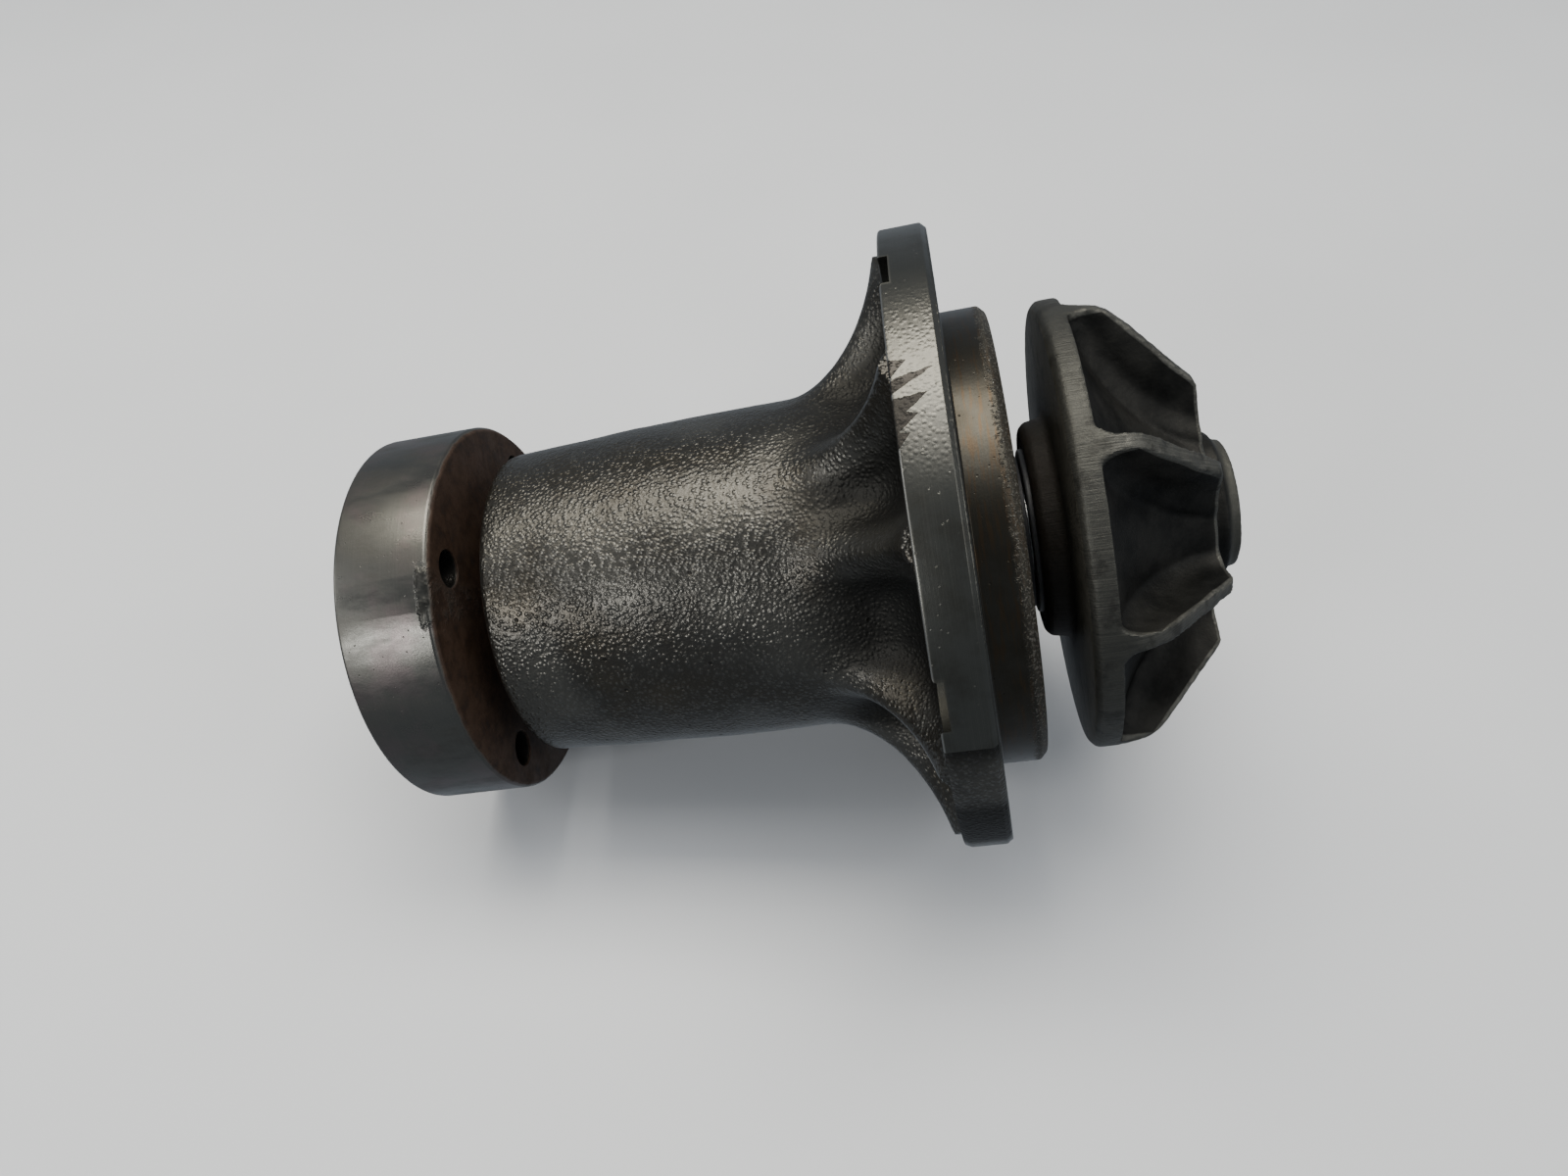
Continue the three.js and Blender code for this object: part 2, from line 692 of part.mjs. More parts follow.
piece("pump_body", "castIron", pumpBody());
piece("drive_hub", "machinedSteel", driveHub());
piece("pump_shaft", "groundSteel", shaft());
piece("bearing_race", "groundSteel", outerRace());
piece("ball_cage", "cageResin", ballCage());
angles(BALL_COUNT).forEach((angle, i) => {
  const ball = new THREE.IcosahedronGeometry(BALL_RADIUS, 1).translate(ballRow, 0, 0);
  piece("ball_" + (i + 1), "groundSteel", around(ball, rowPitch, angle));
});
piece("roller_cage", "cageResin", rollerCage());
angles(ROLLER_COUNT).forEach((angle, i) => {
  const half = ROLLER_LENGTH / 2;
  const roller = bar(rollerRow - half, rollerRow + half, rollerRadius, 12);
  piece("roller_" + (i + 1), "groundSteel", around(roller, rowPitch, angle));
});
piece("bearing_seal_hub_side", "rubber", lipSeal(raceStart, 1));
piece("bearing_seal_pump_side", "rubber", lipSeal(raceEnd, -1));
piece("slinger", "rubber", slinger());
piece("seal_cup", "pressedBrass", sealCup());
piece("seal_bellows", "rubber", sealBellows());
piece("seal_spring", "springSteel", sealSpring());
piece("carbon_ring", "carbon", carbonRing());
piece("ceramic_seat", "ceramic", ring(seatFace, seatBack, seatInner, seatOuter, 0.4));
piece("seat_cup", "rubber", seatCup());
piece("impeller", "impellerIron", impeller());

export default pump;
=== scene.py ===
"""Engine coolant pump, dressed for rendering around its fixed CAD frame.

Sizes in the classes are millimetres and are turned into metres where meshes are made.
The shaft lies along X with the impeller at the +X end, and angles about the shaft
are degrees from +Z towards -Y.
"""

import logging
import math
from dataclasses import dataclass
from enum import Enum
from typing import Sequence

import bmesh
import bpy
from mathutils import Matrix, Vector, noise

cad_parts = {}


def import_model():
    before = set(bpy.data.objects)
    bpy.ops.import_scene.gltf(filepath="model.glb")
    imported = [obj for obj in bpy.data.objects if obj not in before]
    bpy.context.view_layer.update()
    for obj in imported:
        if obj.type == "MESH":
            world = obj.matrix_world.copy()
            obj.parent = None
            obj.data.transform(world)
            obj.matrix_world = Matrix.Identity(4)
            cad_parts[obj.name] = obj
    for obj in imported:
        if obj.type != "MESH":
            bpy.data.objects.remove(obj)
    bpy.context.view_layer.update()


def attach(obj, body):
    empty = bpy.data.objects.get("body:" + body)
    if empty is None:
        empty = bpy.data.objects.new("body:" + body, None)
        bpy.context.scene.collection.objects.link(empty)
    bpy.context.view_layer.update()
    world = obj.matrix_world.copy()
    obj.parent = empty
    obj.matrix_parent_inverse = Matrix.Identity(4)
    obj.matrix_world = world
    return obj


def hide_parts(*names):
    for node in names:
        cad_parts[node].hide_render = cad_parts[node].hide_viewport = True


LOG = logging.getLogger("coolant_pump")
MM = 0.001
FULL_TURN = 2 * math.pi
SHAFT_AXIS = (1.0, 0.0, 0.0)
MERGE_DISTANCE = 1e-7

Colour = tuple[float, float, float]
Point = tuple[float, float]
Mesh = bmesh.types.BMesh


class Body(Enum):
    """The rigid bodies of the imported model."""

    HOUSING = "housing"
    ROTOR = "rotor"
    BALL_TRAIN = "ball_train"
    ROLLER_TRAIN = "roller_train"


class Carve(Enum):
    """The ways one solid can work on another."""

    ADD = "UNION"
    REMOVE = "DIFFERENCE"
    KEEP_COMMON = "INTERSECT"


# --------------------------------------------------------------------------- shaders


class Value:
    """A number socket that arithmetic can be written on."""

    def __init__(self, shader: "Shader", socket: bpy.types.NodeSocket) -> None:
        """Wrap one output socket of a shader's tree."""
        self.shader = shader
        self.socket = socket

    def _math(self, operation: str, *values: "Value | float") -> "Value":
        """Add a Math node.

        Args:
            operation: Blender's name for the operation.
            values: the node's inputs in order, as sockets or numbers.

        Returns:
            The node's result.
        """
        inputs = {index: value for index, value in enumerate(values)}
        made = self.shader.node("ShaderNodeMath", {"operation": operation}, inputs)
        return Value(self.shader, made.outputs[0])

    def __add__(self, other: "Value | float") -> "Value":
        """Sum."""
        return self._math("ADD", self, other)

    __radd__ = __add__

    def __sub__(self, other: "Value | float") -> "Value":
        """Difference."""
        return self._math("SUBTRACT", self, other)

    def __rsub__(self, other: float) -> "Value":
        """Difference from a number."""
        return self._math("SUBTRACT", other, self)

    def __mul__(self, other: "Value | float") -> "Value":
        """Product."""
        return self._math("MULTIPLY", self, other)

    __rmul__ = __mul__

    def __truediv__(self, other: "Value | float") -> "Value":
        """Quotient."""
        return self._math("DIVIDE", self, other)

    def __pow__(self, other: "Value | float") -> "Value":
        """Power."""
        return self._math("POWER", self, other)

    def __abs__(self) -> "Value":
        """Size without sign."""
        return self._math("ABSOLUTE", self)

    def root(self) -> "Value":
        """Square root."""
        return self._math("SQRT", self)

    def sine(self) -> "Value":
        """Sine of radians."""
        return self._math("SINE", self)

    def cosine(self) -> "Value":
        """Cosine of radians."""
        return self._math("COSINE", self)

    def over(self, other: "Value | float") -> "Value":
        """Angle whose tangent is this value over another, in radians."""
        return self._math("ARCTAN2", self, other)

    def most(self, other: "Value | float") -> "Value":
        """The larger of two values."""
        return self._math("MAXIMUM", self, other)

    def rise(self, start: float, end: float) -> "Value":
        """Smooth step from 0 at start to 1 at end; start may be the larger one.

        Args:
            start: where the step leaves 0.
            end: where it reaches 1.

        Returns:
            The step.
        """
        made = self.shader.node(
            "ShaderNodeMapRange",
            {"interpolation_type": "SMOOTHSTEP"},
            {"Value": self, "From Min": start, "From Max": end, "To Min": 0.0, "To Max": 1.0},
        )
        return Value(self.shader, made.outputs[0])

    def between(self, low: float, high: float, soft: float) -> "Value":
        """1 inside a range and 0 outside it, with soft edges."""
        return self.rise(low - soft, low + soft) * self.rise(high + soft, high - soft)


class Shader:
    """One node material, with the few node kinds that the finishes need."""

    def __init__(self, name: str) -> None:
        """Start a material that holds only a Principled shader."""
        self.material = bpy.data.materials.new(name)
        self.material.use_nodes = True
        self.tree = self.material.node_tree
        self.tree.nodes.clear()
        self.principled = self.tree.nodes.new("ShaderNodeBsdfPrincipled")
        output = self.tree.nodes.new("ShaderNodeOutputMaterial")
        self.tree.links.new(self.principled.outputs[0], output.inputs["Surface"])
        place = self.node("ShaderNodeTexCoord", {}, {}).outputs["Object"]
        self.place = self.node(
            "ShaderNodeVectorMath", {"operation": "SCALE"}, {0: place, "Scale": 1 / MM}
        ).outputs[0]
        split = self.node("ShaderNodeSeparateXYZ", {}, {0: self.place})
        self.x, self.y, self.z = (Value(self, socket) for socket in split.outputs)
        self.radius = (self.y * self.y + self.z * self.z).root()
        self.angle = (self.y * -1.0).over(self.z) * (180 / math.pi)

    def node(self, kind: str, settings: dict, inputs: dict) -> bpy.types.Node:
        """Add a node.

        Args:
            kind: Blender's identifier for the node.
            settings: attributes to set before its sockets are used.
            inputs: socket name or index to a Value, a socket, a number or a colour.

        Returns:
            The new node.
        """
        made = self.tree.nodes.new(kind)
        for name, value in settings.items():
            setattr(made, name, value)
        for key, value in inputs.items():
            self.feed(made.inputs[key], value)
        return made

    def feed(self, socket: bpy.types.NodeSocket, value: object) -> None:
        """Link a socket to a value, or set it."""
        if isinstance(value, Value):
            value = value.socket
        if isinstance(value, bpy.types.NodeSocket):
            self.tree.links.new(value, socket)
        elif isinstance(value, tuple) and socket.type == "RGBA" and len(value) == 3:
            socket.default_value = (*value, 1.0)
        else:
            socket.default_value = value

    def noise(
        self,
        size: float,
        detail: float = 3.0,
        rough: float = 0.55,
        stretch: tuple[float, float, float] = (1.0, 1.0, 1.0),
        offset: float = 0.0,
    ) -> Value:
        """Smooth noise.

        Args:
            size: width of one blotch in millimetres.
            detail: octaves.
            rough: weight of the finer octaves.
            stretch: how much longer the blotches are along each axis.
            offset: shift that makes two noises differ.

        Returns:
            Noise around 0.5.
        """
        mapped = self.node(
            "ShaderNodeMapping",
            {"vector_type": "POINT"},
            {
                "Vector": self.place,
                "Location": (offset, offset, offset),
                "Scale": tuple(1 / s for s in stretch),
            },
        )
        made = self.node(
            "ShaderNodeTexNoise",
            {},
            {"Vector": mapped.outputs[0], "Scale": 1 / size, "Detail": detail, "Roughness": rough},
        )
        return Value(self, made.outputs["Fac"])

    def polar_noise(self, along: float, around: float, out: float, detail: float = 2.0) -> Value:
        """Noise on shaft coordinates, for tool marks that follow a turned surface.

        Args:
            along: blotch length along the shaft, in millimetres.
            around: blotch length around the shaft, in degrees.
            out: blotch length away from the shaft, in millimetres.
            detail: octaves.

        Returns:
            Noise around 0.5.
        """
        turned = self.node(
            "ShaderNodeCombineXYZ",
            {},
            {0: self.x / along, 1: abs(self.angle) / around, 2: self.radius / out},
        )
        made = self.node(
            "ShaderNodeTexNoise",
            {},
            {"Vector": turned.outputs[0], "Scale": 1.0, "Detail": detail, "Roughness": 0.6},
        )
        return Value(self, made.outputs["Fac"])

    def cells(self, size: float, offset: float = 0.0) -> Value:
        """Distance to the nearest of scattered points, in cells of a size in millimetres.

        Args:
            size: width of one cell in millimetres.
            offset: shift that makes two patterns differ.

        Returns:
            The distance as a share of a cell.
        """
        moved = self.node(
            "ShaderNodeVectorMath", {"operation": "ADD"}, {0: self.place, 1: (offset, 0.0, 0.0)}
        )
        made = self.node(
            "ShaderNodeTexVoronoi", {}, {"Vector": moved.outputs[0], "Scale": 1 / size}
        )
        return Value(self, made.outputs["Distance"])

    def mix(self, share: Value, first: object, second: object) -> bpy.types.NodeSocket:
        """Colour that goes from first to second as share goes from 0 to 1."""
        made = self.node(
            "ShaderNodeMix", {"data_type": "RGBA"}, {0: share, 6: first, 7: second}
        )
        return made.outputs[2]

    def remainder(self, value: Value, step: float) -> Value:
        """What is left of a positive value after whole steps."""
        return value._math("FLOORED_MODULO", value, step)

    def blend(self, share: Value, first: "Value | float", second: "Value | float") -> Value:
        """Number that goes from first to second as share goes from 0 to 1."""
        return share * (second - first) + first

    def surface(self, **inputs: object) -> None:
        """Feed the Principled shader's sockets by name, with _ for a space."""
        for name, value in inputs.items():
            self.feed(self.principled.inputs[name.replace("_", " ")], value)

    def bump(self, height: Value) -> None:
        """Raise the surface by a height in millimetres."""
        made = self.node("ShaderNodeBump", {}, {"Height": height, "Distance": MM, "Strength": 1.0})
        self.feed(self.principled.inputs["Normal"], made.outputs[0])


@dataclass(frozen=True)
class CastSkin:
    """Sand-cast iron, machined where the body was turned and spot-faced."""

    dark: Colour = (0.040, 0.038, 0.034)
    light: Colour = (0.088, 0.084, 0.073)
    warm: Colour = (0.078, 0.066, 0.046)
    # Painted glint: the colour that the grain beads' tops are lightened to.
    painted_glint: Colour = (0.170, 0.165, 0.148)
    turned: Colour = (0.078, 0.078, 0.069)
    stain: Colour = (0.040, 0.038, 0.031)
    # Light colour of the lathe lines and of the rim's painted highlight.
    burnish_and_highlight: Colour = (0.125, 0.120, 0.104)
    pilot: Colour = (0.034, 0.029, 0.021)
    torn: Colour = (0.034, 0.031, 0.027)
    bronzed: Colour = (0.062, 0.040, 0.022)
    rust: Colour = (0.060, 0.026, 0.011)
    rim_radius: float = 49.3
    pilot_radius: float = 36.35
    flange_back: float = -7.2
    spot_depth: float = 1.4
    bolt_circle: float = 42.5
    first_bolt: float = -6.5
    bolt_pitch: float = 72.0
    spot_radius: float = 8.2
    barrel_end: float = -73.7
    pilot_end: float = 7.0
    mouth_radius: float = 22.0
    flute_back: float = -31.0
    flute_front: float = -16.0
    # Angles round the shaft of the rim's painted highlight band.
    highlight_from: float = 1.0
    highlight_to: float = 31.0
    crest_shift: float = 3.0
    crest_away: float = 21.0
    wedges: tuple[tuple[float, float, float, float], ...] = (
        (14.4, 1.6, 2.3, 0.55),
        (16.2, 1.2, 5.6, 0.42),
        (20.2, 1.9, 4.4, 0.50),
        (23.2, 1.6, 3.0, 0.40),
        (26.0, 1.4, 1.7, 0.50),
    )

    def material(self, name: str = "cast_iron_body") -> bpy.types.Material:
        """Build the node material."""
        s = Shader(name)
        wobble = s.noise(1.2, 3.0, 0.6, offset=5.0) - 0.5
        slivers = self._slivers(s, wobble)
        on_rim = s.radius.rise(self.rim_radius - 0.15, self.rim_radius + 0.15)
        rim = on_rim * (1.0 - slivers)
        spot_floor = self.flange_back + self.spot_depth
        spot = self._near_bolt(s) * s.x.between(self.flange_back - 0.4, spot_floor + 0.2, 0.15)
        wall = s.radius.rise(self.pilot_radius + 0.6, self.pilot_radius + 0.3)
        face = (s.x + wobble * 0.25).rise(-0.35, 0.0)
        bore = s.radius.rise(self.mouth_radius + 0.4, self.mouth_radius + 0.1)
        end_face = s.x.rise(self.barrel_end + 0.30, self.barrel_end + 0.1)
        turned = rim.most(face).most(spot).most(bore).most(end_face)

        grain = s.noise(0.48, 2.0, 0.6)
        coarse = s.noise(2.6, 3.0, 0.55, offset=9.0)
        bead = (1.0 - s.cells(0.67)).rise(0.35, 0.90)
        grit = (1.0 - s.cells(1.7, 50.0)).rise(0.55, 0.95)
        pit = s.cells(4.6, 30.0).rise(0.09, 0.04)
        cloud = s.noise(16.0, 3.0, 0.55, offset=3.0)
        colour = s.mix(cloud.rise(0.35, 0.7), self.dark, self.light)
        colour = s.mix((1.0 - cloud).rise(0.48, 0.75) * 0.5, colour, self.warm)
        # Painted glints: the tops of the grain beads are lightened towards the glint colour.
        colour = s.mix(bead * grain.rise(0.42, 0.62) * 0.45, colour, self.painted_glint)
        colour = s.mix(pit * 0.7, colour, (0.010, 0.009, 0.008))
        # Painted shade: the flutes between the rib crests near the flange are darkened, and made
        # rougher.
        off_crest = abs(abs(self._from_bolt(s) + self.crest_shift) - self.crest_away)
        off_crest += cloud * 2.0
        flute_shade = s.x.rise(self.flute_back, self.flute_front) * off_crest.rise(4.5, 9.5)
        colour = s.mix(flute_shade * 0.85, colour, (0.012, 0.0115, 0.010))

        lathe = s.polar_noise(0.10, 60.0, 0.10)
        patch = s.noise(7.0, 4.0, 0.6, offset=21.0)
        machined = s.mix(patch.rise(0.44, 0.70) * 0.6, self.turned, self.stain)
        # Painted highlight: a lighter band on the rim's upper side, where the overhead light falls.
        # The lathe lines take the same light colour.
        lighter = s.angle.between(self.highlight_from, self.highlight_to, 7.0) * rim
        machined = s.mix(lighter * (patch * 0.5 + 0.5), machined, self.burnish_and_highlight)
        machined = s.mix(lathe.rise(0.48, 0.7) * 0.22, machined, self.burnish_and_highlight)
        on_pilot = wall * face * s.radius.rise(33.0, 34.0)
        machined = s.mix(on_pilot * (0.55 + 0.45 * patch), machined, self.pilot)
        streak = s.polar_noise(0.6, 9.0, 2.0, 3.0).rise(0.48, 0.66)
        machined = s.mix(on_pilot * streak * 0.6, machined, self.bronzed)
        burr = s.x.between(self.flange_back + 0.02, self.flange_back + 0.24, 0.10) * rim
        machined = s.mix(burr * 0.5, machined, (0.42, 0.41, 0.38))
        lip = (s.x + wobble * 1.6).rise(self.pilot_end - 2.3, self.pilot_end - 1.1) * on_pilot
        speck = s.noise(0.42, 3.0, 0.7, offset=4.0).rise(0.50, 0.66)
        machined = s.mix(lip * (speck * 0.75 + 0.1), machined, (0.22, 0.21, 0.185))
        rusty = bore.most(end_face) * s.noise(5.0, 4.0, 0.6, offset=33.0).rise(0.42, 0.62)
        machined = s.mix(rusty, machined, self.rust)
        colour = s.mix(on_rim * slivers, colour, self.torn)
        s.surface(Base_Color=s.mix(turned, colour, machined))

        nick = s.cells(1.5, 12.0).rise(0.13, 0.05)
        cast_rough = 0.26 + cloud * 0.08 + pit * 0.2 + flute_shade * 0.22
        machined_rough = 0.24 + patch * 0.16 + nick * 0.2 + lip * 0.22 + rusty * 0.3 + spot * 0.18
        s.surface(
            Roughness=s.blend(turned, cast_rough, machined_rough),
            Metallic=s.blend(turned, 0.86, 0.95) - rusty * 0.6,
        )
        cast_height = grain * 0.075 + bead * 0.082 + grit * 0.045 + coarse * 0.10 - pit * 0.12
        machined_height = lathe * 0.010 - nick * 0.035 + lip * speck * 0.20 + grain * 0.012
        machined_height += lighter * bead * 0.030
        s.bump(s.blend(turned, cast_height, machined_height))
        return s.material

    def _from_bolt(self, s: Shader) -> Value:
        """Degrees round the shaft from the nearest bolt."""
        wrapped = s.angle - self.first_bolt + 4.5 * self.bolt_pitch
        return s.remainder(wrapped, self.bolt_pitch) - self.bolt_pitch / 2

    def _near_bolt(self, s: Shader) -> Value:
        """Where a point is within a spot face's radius of a bolt.

        Args:
            s: the shader.

        Returns:
            1 inside the spot face and 0 outside it.
        """
        away = self._from_bolt(s)
        across = s.radius * (away * (math.pi / 180)).sine()
        along = s.radius * (away * (math.pi / 180)).cosine() - self.bolt_circle
        reach = (across * across + along * along).root()
        return reach.rise(self.spot_radius + 0.25, self.spot_radius + 0.05)

    def _slivers(self, s: Shader, wobble: Value) -> Value:
        """Wedges of cast skin that the turning tool left at the rim's back edge.

        Args:
            s: the shader.
            wobble: noise around 0 that makes their edges uneven.

        Returns:
            1 inside a wedge. Each wedge has the angle of its tip, half its width in
            degrees, its length in millimetres and its lean in degrees a millimetre.
        """
        along = s.x - self.flange_back
        slivers: Value | float = 0.0
        for tip, width, length, lean in self.wedges:
            centre = s.angle - tip - (length - along) * lean
            half = (1.0 - abs(centre + wobble * 0.9) / width) * length
            inside = (half - along + wobble * 0.8).rise(-0.05, 0.12)
            slivers = inside.most(slivers)
        return slivers


@dataclass(frozen=True)
class TurnedSteel:
    """Lathe-turned steel of the hub, with handling stains and a rusted back face."""

    base: Colour = (0.105, 0.103, 0.092)
    stain: Colour = (0.062, 0.058, 0.051)
    blush: Colour = (0.128, 0.106, 0.102)
    rust: Colour = (0.044, 0.020, 0.008)
    roughness: float = 0.27
    rust_from: float = -79.25
    rust_to: float = -78.9
    lathe: float = 0.007
    nick_sector: Point = (28.0, 43.0)
    nick_stations: Point = (-80.8, -78.75)

    def material(self) -> bpy.types.Material:
        """Build the node material."""
        s = Shader("hub_steel")
        lathe = s.polar_noise(0.07, 50.0, 0.07)
        fine = s.noise(0.35, 2.0, 0.6)
        cloud = s.noise(11.0, 4.0, 0.6, offset=2.0)
        smear = s.noise(5.0, 4.0, 0.65, stretch=(2.5, 1.0, 1.0), offset=14.0)
        colour = s.mix(smear.rise(0.46, 0.74) * 0.55, self.base, self.stain)
        colour = s.mix(cloud.rise(0.45, 0.65) * 0.8, colour, self.blush)
        colour = s.mix(lathe.rise(0.5, 0.7) * 0.10, colour, (0.20, 0.19, 0.17))
        specks = s.cells(1.4, 7.0).rise(0.12, 0.05) * fine.rise(0.45, 0.6)
        colour = s.mix(specks * 0.7, colour, (0.05, 0.045, 0.04))
        edge = s.noise(2.5, 4.0, 0.65, offset=40.0)
        rusted = (s.x + (edge - 0.5) * 0.5).rise(self.rust_from, self.rust_to)
        deep = rusted * (edge.rise(0.35, 0.6) * 0.1 + 0.9)
        colour = s.mix(deep, colour, s.mix(edge.rise(0.35, 0.75), self.rust, (0.018, 0.010, 0.006)))
        chips = s.noise(2.2, 2.0, 0.5, offset=60.0)
        ragged = (edge - 0.5) * 16.0
        nicked = (s.angle + ragged).between(*self.nick_sector, 2.0)
        nicked *= (s.x + ragged * 0.12).between(*self.nick_stations, 0.25)
        colour = s.mix(nicked * (chips.rise(0.35, 0.7) * 0.4 + 0.35), colour, (0.024, 0.023, 0.020))
        s.surface(
            Base_Color=colour,
            Roughness=self.roughness + smear.rise(0.35, 0.7) * 0.16 + specks * 0.2 + deep * 0.34,
            Metallic=0.95 - deep * 0.6,
        )
        marks = lathe * self.lathe + fine * 0.010 - specks * 0.04
        s.bump(marks + deep * edge * 0.05 + nicked * chips * 0.40)
        return s.material


@dataclass(frozen=True)
class ImpellerIron:
    """Fine-cast iron of the impeller, with its rim and vane tips turned."""

    dark: Colour = (0.008, 0.008, 0.007)
    light: Colour = (0.026, 0.025, 0.022)
    turned: Colour = (0.064, 0.063, 0.054)
    edge: Colour = (0.105, 0.103, 0.090)
    faced: Colour = (0.160, 0.150, 0.122)
    rust: Colour = (0.012, 0.0065, 0.003)
    rim_radius: float = 35.5
    disc_back: float = 13.8
    disc_front: float = 17.6
    shoulder: float = 5.2
    vane_height: float = 17.7
    tip_radius: float = 22.0

    def material(self) -> bpy.types.Material:
        """Build the node material."""
        s = Shader("cast_iron_impeller")
        grain = s.noise(0.5, 3.0, 0.6)
        cloud = s.noise(9.0, 4.0, 0.6, offset=6.0)
        coarse = s.noise(2.6, 3.0, 0.55, offset=17.0)
        slope = (self.rim_radius - self.tip_radius) / (self.vane_height - self.shoulder)
        past_shoulder = (s.x - self.disc_front - self.shoulder).most(0.0)
        cone = s.radius - self.rim_radius + past_shoulder * slope
        swept = (cone + (coarse - 0.5) * 0.5).rise(-1.35, -1.0)
        vane_end = self.disc_front + self.vane_height
        top = (s.x + (coarse - 0.5) * 0.3).rise(vane_end - 0.7, vane_end - 0.4)
        top *= s.radius.rise(12.0, 13.0)
        back = s.x.rise(self.disc_back + 0.25, self.disc_back + 0.05)
        turned = swept.most(top).most(back * 0.8)
        chatter = s.polar_noise(7.0, 0.5, 7.0, 3.0)
        colour = s.mix(cloud.rise(0.38, 0.7), self.dark, self.light)
        raised = s.x.rise(self.disc_front + 0.5, self.disc_front + 4.5)
        lighter = s.mix(raised, self.turned, self.edge)
        lighter = s.mix(back * s.radius.rise(18.0, 27.0), lighter, self.faced)
        scuffed = s.mix(chatter.rise(0.36, 0.7) * 0.55, lighter, (0.040, 0.039, 0.035))
        colour = s.mix(turned * 0.9, colour, scuffed)
        fouled = s.noise(4.0, 4.0, 0.65, offset=70.0).rise(0.50, 0.64) * turned
        colour = s.mix(fouled * 0.6, colour, (0.022, 0.021, 0.018))
        collar = s.x.rise(self.disc_front + 20.0, self.disc_front + 20.8)
        colour = s.mix(collar, colour, self.turned)
        tint = s.radius.rise(20.5, 16.0) * s.x.rise(self.disc_back + 1.5, self.disc_back - 0.5)
        tint *= s.noise(6.0, 3.0, 0.5, offset=50.0).rise(0.36, 0.7) * 0.4 + 0.6
        colour = s.mix(tint, colour, self.rust)
        s.surface(
            Base_Color=colour,
            Roughness=0.46 + cloud * 0.16 + grain * 0.08 + tint * 0.15 - turned * 0.06,
            Metallic=0.78 - tint * 0.4,
        )
        s.bump(grain * 0.06 + coarse * 0.08 + turned * chatter * 0.10)
        return s.material


@dataclass(frozen=True)
class GroundSteel:
    """Hardened and ground bearing steel."""

    name: str = "ground_steel"
    base: Colour = (0.52, 0.52, 0.52)
    roughness: float = 0.16

    def material(self) -> bpy.types.Material:
        """Build the node material."""
        s = Shader(self.name)
        lines = s.polar_noise(0.05, 70.0, 0.05)
        film = s.noise(6.0, 3.0, 0.55)
        s.surface(
            Base_Color=s.mix(film.rise(0.4, 0.75) * 0.5, self.base, (0.40, 0.37, 0.31)),
            Roughness=self.roughness + film * 0.10 + lines * 0.05,
            Metallic=1.0,
        )
        s.bump(lines * 0.004)
        return s.material


@dataclass(frozen=True)
class Moulded:
    """A moulded or pressed material with a mottled skin."""

    name: str
    base: Colour
    other: Colour
    roughness: float
    metallic: float = 0.0
    grain: float = 0.5
    depth: float = 0.02

    def material(self) -> bpy.types.Material:
        """Build the node material."""
        s = Shader(self.name)
        skin = s.noise(self.grain, 3.0, 0.6)
        cloud = s.noise(4.0, 3.0, 0.55, offset=11.0)
        s.surface(
            Base_Color=s.mix(cloud.rise(0.35, 0.7), self.base, self.other),
            Roughness=self.roughness + skin * 0.12 + cloud * 0.06,
            Metallic=self.metallic,
        )
        s.bump(skin * self.depth)
        return s.material


# ---------------------------------------------------------------------- mesh helpers


def softened(corners: Sequence[tuple[float, ...]], steps: int = 4) -> list[Point]:
    """Round the corners of a profile.

    Args:
        corners: (x, radius) or (x, radius, reach), where reach is how far from the
            corner its rounding starts, in millimetres.
        steps: pieces in each rounding.

    Returns:
        The profile's points.
    """
    points: list[Point] = []
    for i, corner in enumerate(corners):
        here = Vector(corner[:2])
        reach = corner[2] if len(corner) > 2 else 0.0
        if reach <= 0:
            points.append((here.x, here.y))
            continue
        before = Vector(corners[i - 1][:2]) - here
        after = Vector(corners[(i + 1) % len(corners)][:2]) - here
        start = here + before.normalized() * min(reach, before.length * 0.49)
        end = here + after.normalized() * min(reach, after.length * 0.49)
        for k in range(steps + 1):
            t = k / steps
            at = start.lerp(here, t).lerp(here.lerp(end, t), t)
            points.append((at.x, at.y))
    return points


def swung(
    bm: Mesh, geom: list, angle: float, steps: int, merge: bool = False, climb: float = 0.0
) -> list:
    """Sweep part of a mesh round the shaft axis.

    Args:
        bm: the mesh.
        geom: the vertices and edges that are swept.
        angle: the sweep in radians.
        steps: pieces in the sweep.
        merge: join the end to the start.
        climb: how far each piece moves along the shaft, in millimetres.

    Returns:
        The geometry at the sweep's end.
    """
    made = bmesh.ops.spin(
        bm,
        geom=geom,
        cent=(0.0, 0.0, 0.0),
        axis=SHAFT_AXIS,
        dvec=(climb * MM, 0.0, 0.0),
        angle=angle,
        steps=steps,
        use_merge=merge,
        use_normal_flip=False,
        use_duplicate=False,
    )
    return made["geom_last"]


def capped(bm: Mesh) -> Mesh:
    """Close a swept mesh's open ends and turn its faces outwards."""
    bmesh.ops.holes_fill(bm, edges=[e for e in bm.edges if e.is_boundary], sides=0)
    bmesh.ops.recalc_face_normals(bm, faces=bm.faces)
    return bm


def moved(bm: Mesh, matrix: Matrix) -> Mesh:
    """Move a whole mesh by a matrix."""
    bmesh.ops.transform(bm, matrix=matrix, verts=bm.verts)
    return bm


def about_shaft(angle: float) -> Matrix:
    """Turn about the shaft by an angle in degrees."""
    return Matrix.Rotation(math.radians(angle), 4, "X")


